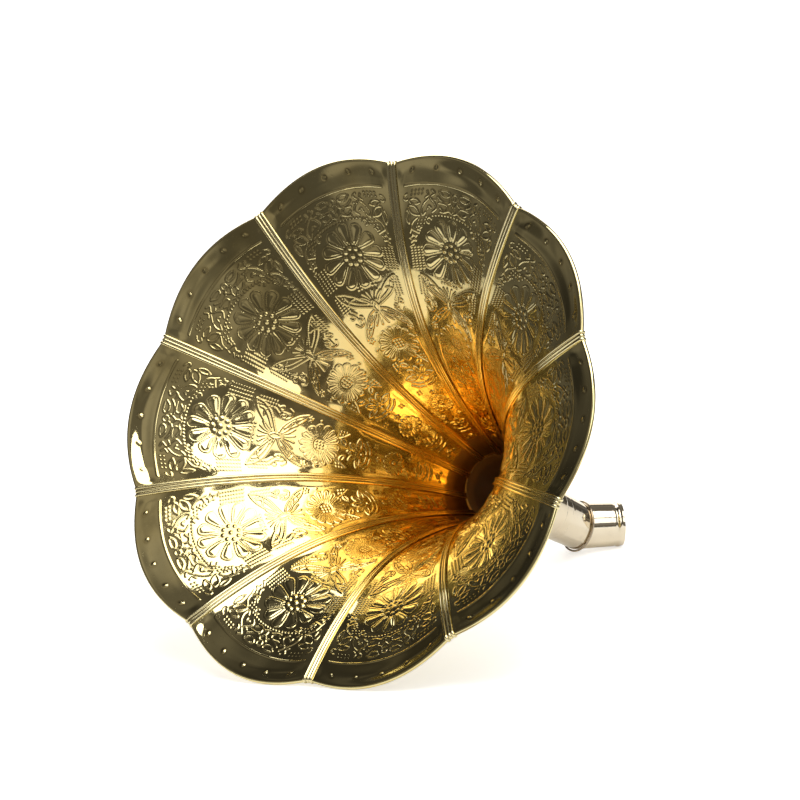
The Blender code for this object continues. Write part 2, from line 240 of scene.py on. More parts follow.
class GeometryTree(Graph):
    """A Geometry Nodes tree with named inputs, which ends in real faces of one material."""

    def __init__(self, name: str, sizes: Sequence[str], counts: Sequence[str] = ()) -> None:
        """Make the tree and its sockets.

        Args:
            name: name of the tree.
            sizes: names of its number inputs.
            counts: names of its whole-number inputs.
        """
        super().__init__(bpy.data.node_groups.new(name, "GeometryNodeTree"))
        face = self.tree.interface
        face.new_socket("Geometry", in_out="INPUT", socket_type="NodeSocketGeometry")
        for size in sizes:
            face.new_socket(size, in_out="INPUT", socket_type="NodeSocketFloat")
        for count in counts:
            face.new_socket(count, in_out="INPUT", socket_type="NodeSocketInt")
        face.new_socket("Finish", in_out="INPUT", socket_type="NodeSocketMaterial")
        face.new_socket("Geometry", in_out="OUTPUT", socket_type="NodeSocketGeometry")
        self.entry = self.add("NodeGroupInput")

    def given(self, name: str) -> Wire:
        """An input of the tree as a wire."""
        return self.wire(self.entry, name)

    def finish(self, geometry: object) -> None:
        """End the tree: real faces, with the finish on them.

        Args:
            geometry: socket or wire of the shape.
        """
        real = self.add("GeometryNodeRealizeInstances", None, {"Geometry": geometry})
        painted = self.add("GeometryNodeSetMaterial", None,
                           {"Geometry": real.outputs[0], "Material": self.given("Finish")})
        self.add("NodeGroupOutput", None, {"Geometry": painted.outputs[0]})

    def use(self, piece: bpy.types.Object, values: dict) -> None:
        """Put the tree on a piece as a modifier.

        Args:
            piece: the piece it works on.
            values: the tree's inputs, by name.
        """
        modifier = piece.modifiers.new(self.tree.name, "NODES")
        modifier.node_group = self.tree
        for item in self.tree.interface.items_tree:
            if item.in_out == "INPUT" and item.name in values:
                modifier[item.identifier] = values[item.name]


# ---------------------------------------------------------------- meshes

def stitch(near: np.ndarray, near_at: np.ndarray, far: np.ndarray, far_at: np.ndarray,
           flip: bool) -> np.ndarray:
    """Triangles between two rows of vertices that may differ in number.

    Args:
        near: vertex numbers of the first row.
        near_at: places of its vertices along the row, rising.
        far: vertex numbers of the second row.
        far_at: places of its vertices along the row, rising.
        flip: turn the faces over.

    Returns:
        Triangles as rows of three vertex numbers.
    """
    steps_near = 0.5 * (near_at[1:] + near_at[:-1])
    steps_far = 0.5 * (far_at[1:] + far_at[:-1])
    order = np.argsort(np.concatenate([steps_near, steps_far]), kind="stable")
    on_near = order < len(steps_near)
    i = np.concatenate([[0], np.cumsum(on_near)[:-1]])
    j = np.concatenate([[0], np.cumsum(~on_near)[:-1]])
    next_near, next_far = np.minimum(i + 1, len(near) - 1), np.minimum(j + 1, len(far) - 1)
    third = np.where(on_near, near[next_near], far[next_far])
    faces = np.stack([near[i], third, far[j]], 1)
    return faces[:, ::-1] if flip else faces


@dataclass
class Row:
    """One row of a sheet: where its vertices are, and their numbers."""

    at: float
    across: np.ndarray
    first: int

    @property
    def ids(self) -> np.ndarray:
        """Vertex numbers."""
        return np.arange(self.first, self.first + len(self.across))


@dataclass
class SheetTopology:
    """Closed sheet between two skins of rows, each of which may have its own number of vertices."""

    inner: list[Row] = field(default_factory=list)
    outer: list[Row] = field(default_factory=list)
    count: int = 0

    def add(self, skin: list[Row], at: float, across: np.ndarray) -> None:
        """Append a row to one of the skins."""
        skin.append(Row(at, across, self.count))
        self.count += len(across)

    def faces(self) -> np.ndarray:
        """Triangles of both skins and of the four edges between them.

        Returns:
            Rows of three vertex numbers.
        """
        parts = []
        for skin, flip in ((self.inner, True), (self.outer, False)):
            for a, b in zip(skin, skin[1:]):
                parts.append(stitch(a.ids, a.across, b.ids, b.across, flip))
        places = [np.array([row.at for row in skin]) for skin in (self.inner, self.outer)]
        for side, flip in ((0, True), (-1, False)):
            edges = [np.array([row.ids[side] for row in skin]) for skin in (self.inner, self.outer)]
            parts.append(stitch(edges[0], places[0], edges[1], places[1], flip))
        for end, flip in ((0, False), (-1, True)):
            a, b = self.inner[end], self.outer[end]
            parts.append(stitch(a.ids, a.across, b.ids, b.across, flip))
        return np.concatenate(parts)


def new_piece(name: str, points: np.ndarray, faces: Sequence, crease: float = 80.0) -> bpy.types.Object:
    """Smooth mesh object from points and faces.

    Args:
        name: name of the piece.
        points: one row of X, Y and Z for each vertex.
        faces: vertex numbers of each face.
        crease: degrees between two faces past which their edge stays sharp.

    Returns:
        The object, linked to the scene.
    """
    mesh = bpy.data.meshes.new(name)
    mesh.from_pydata(points.tolist(), [], faces.tolist() if isinstance(faces, np.ndarray) else faces)
    mesh.shade_smooth()
    mesh.set_sharp_from_angle(angle=math.radians(crease))
    piece = bpy.data.objects.new(name, mesh)
    bpy.context.scene.collection.objects.link(piece)
    return piece


def smooth_step(share: np.ndarray) -> np.ndarray:
    """Ease a value from 0 to 1 in and out, and hold it outside."""
    share = np.clip(share, 0.0, 1.0)
    return share * share * (3.0 - 2.0 * share)


def paint_value(piece: bpy.types.Object, name: str, values: np.ndarray) -> None:
    """Keep one number for each vertex of a piece as an attribute."""
    attribute = piece.data.attributes.new(name, "FLOAT", "POINT")
    attribute.data.foreach_set("value", values.astype(np.float32))


def settle(piece: bpy.types.Object, place: Matrix) -> bpy.types.Object:
    """Turn a piece with its node trees into a plain mesh in its place.

    Args:
        piece: the mesh or curve object with its modifiers.
        place: matrix from the piece's own frame to the world.

    Returns:
        The finished mesh object, at the origin.
    """
    bpy.context.view_layer.update()
    graph = bpy.context.evaluated_depsgraph_get()
    made = bpy.data.meshes.new_from_object(piece.evaluated_get(graph), preserve_all_data_layers=True,
                                           depsgraph=graph)
    made.transform(place)
    name = piece.name
    bpy.data.objects.remove(piece, do_unlink=True)
    finished = bpy.data.objects.new(name, made)
    made.name = name
    bpy.context.scene.collection.objects.link(finished)
    return finished


def hand_over(piece: bpy.types.Object, body: Body, slot: Slot, *nodes: str) -> None:
    """Let a finished piece ride on its body and stand for its CAD nodes.

    Args:
        piece: the finished piece.
        body: the body it moves with.
        slot: the record's slot its finish comes from; not used.
        nodes: CAD nodes that it stands for.
    """
    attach(piece, body.value)
    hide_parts(*nodes)
    LOG.info("%s: %d faces on body %s", piece.name, len(piece.data.polygons), body.value)


# ---------------------------------------------------------------- finishes

@dataclass(frozen=True)
class Brass:
    """Polished brass with a thin uneven lacquer, a darker tarnish-coloured tone where a vertex attribute
    marks it, and fine scratches.

    The colours are the bare metal, its warmer patches, its tarnish, and a painted tone deep in the bell and
    inside the tubes: painted warm light bounced between the brass walls, and painted shade inside the tubes.
    A gloss is a roughness; a scale is in cells for each metre.
    """

    name: str
    clean: Color
    warm: Color
    tarnish: Color
    painted_deep_tone: Color
    gloss: float
    deep_gloss: float
    stain: float
    scratch: float
    cloud_scale: float = 9.0
    mottle_scale: float = 70.0
    speck_scale: float = 420.0
    bump_depth: float = 0.0002
    bump_strength: float = 0.2

    def material(self) -> bpy.types.Material:
        """Build the finish once.

        Returns:
            The material.
        """
        made = bpy.data.materials.get(self.name)
        if made is not None:
            return made
        made = bpy.data.materials.new(self.name)
        made.use_nodes = True
        graph = Graph(made.node_tree)
        shader = made.node_tree.nodes["Principled BSDF"]
        shader.inputs["Metallic"].default_value = 1.0
        where = graph.add("ShaderNodeTexCoord").outputs["Object"]
        clouds = self._noise(graph, where, self.cloud_scale, 4.0, 0.6)
        mottle = self._noise(graph, where, self.mottle_scale, 5.0, 0.65)
        specks = self._noise(graph, where, self.speck_scale, 2.0, 0.5)
        grime, depth = (graph.wire(graph.add("ShaderNodeAttribute", {"attribute_name": name}), "Fac")
                        for name in ("grime", "depth"))
        patches = clouds.fit(0.42, 0.72, 0.0, 1.0)
        dull = (mottle.fit(0.50, 0.78, 0.0, 1.0) * 0.6 + patches * 0.4) * self.stain
        # Darker towards the tarnish colour, and rougher, where the vertex attribute says so: along the foot
        # of each embossed ridge, in the bead strips' grooves, and over the whole mitre ring.
        hollow = grime * (0.55 + 0.45 * mottle)
        tone = self._mix(graph, patches * 0.7, self.clean, self.warm)
        # Painted light: where the depth attribute is high, the colour goes to the painted tone, which is warm
        # bounced light deep in the bell and shade inside the tubes.
        tone = self._mix(graph, depth, tone, self.painted_deep_tone)
        stained = self._mix(graph, dull, tone, self.tarnish)
        darkened_tone = self._mix(graph, hollow * (0.35 + self.stain), stained, self.tarnish)
        graph.tree.links.new(darkened_tone, shader.inputs["Base Color"])
        rough = self.gloss + 0.10 * dull + 0.10 * hollow + specks.fit(0.35, 0.75, -0.012, 0.02)
        rough = rough + depth * (self.deep_gloss - self.gloss)
        graph.tree.links.new(rough.socket, shader.inputs["Roughness"])
        streaks = self._scratches(graph, where)
        height = mottle * 0.25 + specks * 0.05 + streaks * self.scratch
        bump = graph.add("ShaderNodeBump", None, {"Height": height, "Distance": self.bump_depth,
                                                  "Strength": self.bump_strength})
        graph.tree.links.new(bump.outputs[0], shader.inputs["Normal"])
        return made

    def _noise(self, graph: Graph, where: bpy.types.NodeSocket, scale: float, detail: float,
               roughness: float) -> Wire:
        """Noise over the piece's own coordinates.

        Args:
            graph: the material's graph.
            where: coordinates.
            scale: cells for each metre.
            detail: octaves.
            roughness: weight of the finer octaves.

        Returns:
            The noise, from 0 to 1.
        """
        inputs = {"Vector": where, "Scale": scale, "Detail": detail, "Roughness": roughness}
        return graph.wire(graph.add("ShaderNodeTexNoise", None, inputs), 0)

    def _scratches(self, graph: Graph, where: bpy.types.NodeSocket) -> Wire:
        """Short polishing marks in two directions, as noise drawn out along one axis.

        Args:
            graph: the material's graph.
            where: coordinates.

        Returns:
            The marks' height.
        """
        marks = []
        for turn, scale in ((0.4, 260.0), (1.5, 340.0)):
            spin = graph.add("ShaderNodeMapping", None,
                             {"Vector": where, "Rotation": (0.3, turn, 0.9 * turn),
                              "Scale": (1.0, 0.06, 1.0)})
            marks.append(self._noise(graph, spin.outputs[0], scale, 3.0, 0.7).fit(0.62, 0.70, 0.0, 1.0))
        return marks[0] + marks[1]

    def _mix(self, graph: Graph, share: Wire, start: object, end: object) -> bpy.types.NodeSocket:
        """Colour between two colours.

        Args:
            graph: the material's graph.
            share: 0 for the first colour to 1 for the second.
            start: the first colour, a socket or three numbers.
            end: the second colour, a socket or three numbers.

        Returns:
            The mixed colour's socket.
        """
        node = graph.add("ShaderNodeMix", {"data_type": "RGBA"}, {0: share})
        for key, value in ((6, start), (7, end)):
            if isinstance(value, bpy.types.NodeSocket):
                graph.tree.links.new(value, node.inputs[key])
            else:
                node.inputs[key].default_value = (*value, 1.0)
        return node.outputs[2]


PETAL_BRASS = Brass("petal_brass_look", (0.83, 0.72, 0.37), (0.81, 0.66, 0.28), (0.38, 0.28, 0.10),
                    (0.96, 0.65, 0.20), 0.05, 0.09, 0.25, 0.3)
STRIP_BRASS = Brass("strip_brass_look", (0.87, 0.77, 0.44), (0.83, 0.70, 0.34), (0.26, 0.18, 0.06),
                    (0.96, 0.65, 0.20), 0.08, 0.15, 0.20, 0.2)
TUBE_BRASS = Brass("tube_brass_look", (0.80, 0.71, 0.55), (0.78, 0.67, 0.48), (0.30, 0.22, 0.15),
                   (0.50, 0.29, 0.11), 0.07, 0.55, 0.20, 0.4)
DARK_BRASS = Brass("dark_brass_look", (0.45, 0.34, 0.15), (0.38, 0.28, 0.12), (0.16, 0.11, 0.05),
                   (0.30, 0.17, 0.05), 0.30, 0.50, 0.60, 0.6)


# ---------------------------------------------------------------- the flare

@dataclass(frozen=True)
class Flare:
    """Rule of the bell's shape, in metres."""

    petals: int = 10
    mouth_radius: float = 0.2600
    throat_radius: float = 0.0328
    bell_depth: float = 0.2855
    rate: float = 3.43
    cone: float = 0.30
    lobe_reach: float = 0.0129
    bulge: float = 0.0028
    neck_length: float = 0.0963
    sheet: float = 0.0006
    hem_radius: float = 0.0020
    clearance: float = 0.0003
    overrun: float = 1.12
    table_steps: int = 3000

    @property
    def half_pitch(self) -> float:
        """Half the angle of a petal."""
        return math.pi / self.petals

    def radius_at_rise(self, rise: np.ndarray) -> np.ndarray:
        """Radius at a rise of 0 at the throat to 1 at the seams' ends.

        Args:
            rise: shares of the bell's depth.

        Returns:
            Radii in metres.
        """
        curve = (np.exp(self.rate * rise) - 1.0) / (math.exp(self.rate) - 1.0)
        return self.throat_radius + (self.mouth_radius - self.throat_radius) * (
            self.cone * rise + (1.0 - self.cone) * curve)

    def table(self) -> tuple[np.ndarray, np.ndarray]:
        """Distance along the flare from the throat, and the rise there.

        Returns:
            Two rising rows that can be looked up in either direction.
        """
        rise = np.linspace(0.0, self.overrun, self.table_steps)
        radius = self.radius_at_rise(rise)
        steps = np.hypot(np.diff(rise) * self.bell_depth, np.diff(radius))
        return np.concatenate([[0.0], np.cumsum(steps)]), rise

    def along_at(self, height: float) -> float:
        """Distance along the flare from the throat to a height above it."""
        along, rise = self.table()
        return float(np.interp(height / self.bell_depth, rise, along))

    @property
    def length(self) -> float:
        """Distance along the flare from the throat to the seams' ends."""
        return self.along_at(self.bell_depth)

    def radius(self, along: np.ndarray) -> np.ndarray:
        """Radius at a distance along the flare from the throat."""
        table, rise = self.table()
        return self.radius_at_rise(np.interp(along, table, rise))

    def lobe(self, angle: np.ndarray) -> np.ndarray:
        """1 in the middle of a petal and 0 on its seams, with the angle from the petal's middle."""
        return np.cos(QUARTER_TURN * np.clip(angle / self.half_pitch, -1.0, 1.0))

    def seam_angle(self, seam: int) -> float:
        """Angle of a seam; seams count clockwise as seen from the front, and the sixth is lowest."""
        return -QUARTER_TURN - 2.0 * self.half_pitch * (seam - 1 - self.petals // 2)

    def tree(self) -> GeometryTree:
        """Build the tree that bends a flat piece onto the bell.

        Returns:
            The tree, whose inputs are the flare's sizes and the piece's turn about the axis.
        """
        made = GeometryTree("bell_flare", ["Mouth Radius", "Throat Radius", "Bell Depth", "Flare Rate",
                                           "Cone Share", "Petal Bulge", "Neck Length", "Turn", "Petals"])
        mouth, throat = made.given("Mouth Radius"), made.given("Throat Radius")
        rate, cone = made.given("Flare Rate"), made.given("Cone Share")
        line = made.add("GeometryNodeCurvePrimitiveLine", None, {"End": (0.0, 0.0, self.overrun)})
        fine = made.add("GeometryNodeResampleCurve", None,
                        {"Curve": line.outputs[0], "Count": self.table_steps})
        rise = made.split(made.add("GeometryNodeInputPosition").outputs[0])[2]
        curve = ((rate * rise).growth() - 1.0) / (rate.growth() - 1.0)
        radius = throat + (mouth - throat) * (cone * rise + (1.0 - cone) * curve)
        height = made.given("Neck Length") + made.given("Bell Depth") * rise
        spot = made.add("ShaderNodeCombineXYZ", None, {0: radius, 2: height})
        meridian = made.add("GeometryNodeSetPosition", None,
                            {"Geometry": fine.outputs[0], "Position": spot.outputs[0]})
        across, along, lift = made.split(made.add("GeometryNodeInputPosition").outputs[0])
        sample = made.add("GeometryNodeSampleCurve", {"mode": "LENGTH", "use_all_curves": True},
                          {"Curves": meridian.outputs[0], "Length": along})
        base, _, level = made.split(sample.outputs["Position"])
        outward, _, forward = made.split(sample.outputs["Tangent"])
        angle = made.given("Turn") + across / base
        lobe = ((angle - QUARTER_TURN) * made.given("Petals") * 0.5).sine().size()
        off = lift + made.given("Petal Bulge") * lobe * (base - throat) / (mouth - throat)
        reach = base + forward * off
        bent = made.add("ShaderNodeCombineXYZ", None, {0: reach * angle.cosine(), 1: reach * angle.sine(),
                                                      2: level - outward * off})
        moved = made.add("GeometryNodeSetPosition", None,
                         {"Geometry": made.given("Geometry"), "Position": bent.outputs[0]})
        made.finish(moved.outputs[0])
        return made

    def bend(self, tree: GeometryTree, piece: bpy.types.Object, angle: float, finish: Brass) -> None:
        """Bend a flat piece onto the bell.

        Args:
            tree: the tree from tree().
            piece: the flat piece.
            angle: angle of its middle about the axis.
            finish: its finish.
        """
        tree.use(piece, {"Mouth Radius": self.mouth_radius, "Throat Radius": self.throat_radius,
                         "Bell Depth": self.bell_depth, "Flare Rate": self.rate,
                         "Cone Share": self.cone, "Petal Bulge": self.bulge,
                         "Neck Length": self.neck_length, "Turn": angle,
                         "Petals": float(self.petals), "Finish": finish.material()})


def wire_tree() -> GeometryTree:
    """Build the tree that turns a path into a round wire.

    Returns:
        The tree, with the wire's radius and its number of sides.
    """
    made = GeometryTree("round_wire", ["Wire Radius"], ["Sides"])
    ring = made.add("GeometryNodeCurvePrimitiveCircle", None,
                    {"Resolution": made.given("Sides"), "Radius": made.given("Wire Radius")})
    tube = made.add("GeometryNodeCurveToMesh", None,
                    {"Curve": made.given("Geometry"), "Profile Curve": ring.outputs[0], "Fill Caps": True})
    smooth = made.add("GeometryNodeSetShadeSmooth", None, {"Geometry": tube.outputs[0]})
    made.finish(smooth.outputs[0])
    return made


def path_piece(name: str, points: np.ndarray, closed: bool) -> bpy.types.Object:
    """Curve object through points, for the wire tree.

    Args:
        name: name of the piece.
        points: one row of X, Y and Z for each point.
        closed: join the last point to the first.

    Returns:
        The curve object, linked to the scene.
    """
    curve = bpy.data.curves.new(name, "CURVE")
    curve.dimensions = "3D"
    spline = curve.splines.new("POLY")
    spline.points.add(len(points) - 1)
    for knot, point in zip(spline.points, points):
        knot.co = (*point, 1.0)
    spline.use_cyclic_u = closed
    piece = bpy.data.objects.new(name, curve)
    bpy.context.scene.collection.objects.link(piece)
    return piece


# ---------------------------------------------------------------- the embossing

class Relief:
    """Height of an embossed pattern at points of a flat sheet, all in millimetres."""

    RIDGE = 1.05
    RIDGE_HEIGHT = 0.62

    def __init__(self, x: np.ndarray, y: np.ndarray) -> None:
        """Start level at these points.

        Args:
            x: places across the sheet.
            y: places from the rim.
        """
        self.x = x
        self.y = y
        self.raised = np.zeros_like(x)
        self.domed = np.zeros_like(x)
        self.grime = np.zeros_like(x)

    def _near(self, low: np.ndarray, high: np.ndarray) -> np.ndarray:
        """Numbers of the points inside a box."""
        inside = (self.x > low[0]) & (self.x < high[0]) & (self.y > low[1]) & (self.y < high[1])
        return np.flatnonzero(inside)

    def _emboss(self, near: np.ndarray, distance: np.ndarray, width: float, height: float) -> None:
        """Raise a rounded ridge.

        Args:
            near: numbers of the points.
            distance: their distance from the ridge's middle.
            width: half the ridge's width.
            height: its height.
        """
        bell = height * 0.5 * (1.0 + np.cos(math.pi * np.clip(distance / width, 0.0, 1.0)))
        self.raised[near] = np.maximum(self.raised[near], bell)
        # A darker band along the ridge's foot, which the finish mixes towards the tarnish colour.
        foot = np.exp(-((distance - 1.1 * width) / (0.45 * width)) ** 2)
        self.grime[near] = np.maximum(self.grime[near], foot)

    def line(self, points: Points, width: float = RIDGE, height: float = RIDGE_HEIGHT,
             smooth: bool = True) -> None:
        """Raise a ridge along a line.

        Args:
            points: corners of the line.
            width: half the ridge's width.
            height: its height.
            smooth: round the corners off.
        """
        path = rounded(points) if smooth else np.array(points, float)
        margin = 2.2 * width
        near = self._near(path.min(0) - margin, path.max(0) + margin)
        if len(near) == 0:
            return
        start, run = path[:-1], np.diff(path, axis=0)
        square = np.maximum((run * run).sum(1), 1e-9)
        dx = self.x[near][:, None] - start[:, 0]
        dy = self.y[near][:, None] - start[:, 1]
        share = np.clip((dx * run[:, 0] + dy * run[:, 1]) / square, 0.0, 1.0)
        distance = np.hypot(dx - share * run[:, 0], dy - share * run[:, 1]).min(1)
        self._emboss(near, distance, width, height)

    def dot(self, x: float, y: float, radius: float, height: float) -> None:
        """Raise a round bump.

        Args:
            x: place across the petal.
            y: place from the rim.
            radius: its radius.
            height: its height.
        """
        centre = np.array([x, y])
        near = self._near(centre - 2.0 * radius, centre + 2.0 * radius)
        self._emboss(near, np.hypot(self.x[near] - x, self.y[near] - y), radius, height)

    def ring(self, x: float, y: float, radius: float, start: float = 0.0, sweep: float = 360.0,
             width: float = 1.0) -> None:
        """Raise a ring or a part of one.

        Args:
            x: place of its middle across the petal.
            y: place of its middle from the rim.
            radius: radius of the ridge's middle.
            start: first angle in degrees, from across towards the throat.
            sweep: degrees that it goes round.
            width: half the ridge's width.
        """
        steps = max(6, int(abs(sweep) / 30.0))
        turns = [math.radians(start + sweep * i / steps) for i in range(steps + 1)]
        arc = [(x + radius * math.cos(t), y + radius * math.sin(t)) for t in turns]
        self.line(arc, width, smooth=False)

    def swell(self, x: float, y: float, radius: float, height: float) -> None:
        """Dome the sheet gently under the ridges."""
        away = np.clip(np.hypot(self.x - x, self.y - y) / radius, 0.0, 1.0)
        self.domed += height * (1.0 - away ** 2) ** 2

    def leaf(self, base: tuple[float, float], tip: tuple[float, float], width: float,
             vein: bool = False) -> None:
        """Raise the outline of a pointed leaf.

        Args:
            base: its lower end.
            tip: its upper end.
            width: half its width at the middle.
            vein: add a line down its middle.
        """
        along = np.subtract(tip, base)
        side = np.array([-along[1], along[0]]) / np.hypot(*along) * width
        for way in (-1.0, 1.0):
            self.line([tuple(np.add(base, along * t) + way * side * s)
                       for t, s in ((0.0, 0.0), (0.3, 0.8), (0.6, 1.0), (0.85, 0.6), (1.0, 0.0))])
        if vein:
            self.line([tuple(np.add(base, 0.2 * along)), tuple(np.add(base, 0.75 * along))], 0.9, 0.45)

    def teardrop(self, centre: tuple[float, float], angle: float, near: float, far: float,
                 half: float, width: float = 1.15) -> None:
        """Raise the outline of a round-tipped flower petal and dome its inside.

        Args:
            centre: middle of the flower.
            angle: its direction in degrees, from across towards the throat.
            near: distance of its narrow end from the middle.
            far: distance of its tip.
            half: half its width near the tip.
            width: half the ridge's width.
        """
        turn = math.radians(angle)
        along = np.array([math.cos(turn), math.sin(turn)])
        side = np.array([-along[1], along[0]])
        round_at = far - half
        outline = [(near, -0.25), (0.5 * (near + round_at), -0.72), (round_at, -1.0)]
        outline += [(round_at + half * math.sin(t), -math.cos(t)) for t in (0.7, 1.57, 2.44)]
        outline += [(round_at, 1.0), (0.5 * (near + round_at), 0.72), (near, 0.25)]
        self.line([tuple(np.add(centre, reach * along) + share * half * side)
                   for reach, share in outline], width, 0.5)
        around = self._near(np.subtract(centre, far), np.add(centre, far))
        dx, dy = self.x[around] - centre[0], self.y[around] - centre[1]
        reach, off = dx * along[0] + dy * along[1], dx * side[0] + dy * side[1]
        wide = half * np.clip(0.25 + 0.75 * (reach - near) / (round_at - near), 0.05, 1.0)
        beyond = np.clip(reach - round_at, 0.0, None)
        fall = np.clip(1.0 - (off / wide) ** 2 - (beyond / half) ** 2, 0.0, 1.0)
        self.domed[around] += 0.13 * half * fall * np.clip((reach - near) / 3.0, 0.0, 1.0)

    def daisy(self, centre: tuple[float, float], count: int, near: float, far: float, half: float,
              width: float = 1.15) -> None:
        """Raise a flower of teardrop petals."""
        for i in range(count):
            self.teardrop(centre, 90.0 + 360.0 * i / count, near, far, half, width)

    def dots(self, x: float, y: float, columns: int, rows: int, step: tuple[float, float],
             slant: float = 0.0, radius: float = 1.25, height: float = 0.5) -> None:
        """Raise a field of small bumps.

        Args:
            x: place of the first bump across the petal.
            y: place of the first bump from the rim.
            columns: bumps in a row.
            rows: number of rows.
            step: distance between columns and between rows.
            slant: how far each row moves across.
            radius: radius of a bump.
            height: its height.
        """
        for row in range(rows):
            for column in range(columns):
                self.dot(x + column * step[0] + row * slant, y + row * step[1], radius, height)

    def star(self, x: float, y: float, radius: float, turn: float = 0.0) -> None:
        """Raise the outline of a five-pointed star.

        Args:
            x: place across the petal.
            y: place from the rim.
            radius: reach of its points.
            turn: degrees that it is turned.
        """
        corners = []
        for i in range(11):
            reach = radius if i % 2 == 0 else 0.45 * radius
            angle = math.radians(turn + 36.0 * i)
            corners.append((x + reach * math.sin(angle), y - reach * math.cos(angle)))
        self.line(corners, 0.9, 0.55, smooth=False)


def rounded(points: Points, pieces: int = 6) -> np.ndarray:
    """Smooth line through points.

    Args:
        points: points of the line.
        pieces: straight pieces between two points.

    Returns:
        Points of the smooth line.
    """
    knots = np.array(points, float)
    if len(knots) < 3:
        return knots
    ends = np.vstack([2 * knots[0] - knots[1], knots, 2 * knots[-1] - knots[-2]])
    share = np.linspace(0.0, 1.0, pieces, endpoint=False)[:, None]
    parts = []
    for a, b, c, d in zip(ends, ends[1:], ends[2:], ends[3:]):
        parts.append(0.5 * (2 * b + (c - a) * share + (2 * a - 5 * b + 4 * c - d) * share ** 2
                            + (3 * b - a - 3 * c + d) * share ** 3))
    return np.vstack(parts + [knots[-1:]])


def mirrored(points: Points, side: float, y: float = 0.0) -> Points:
    """Points of one half of the pattern, put on their side and moved towards the throat."""
    return [(side * across, y + along) for across, along in points]


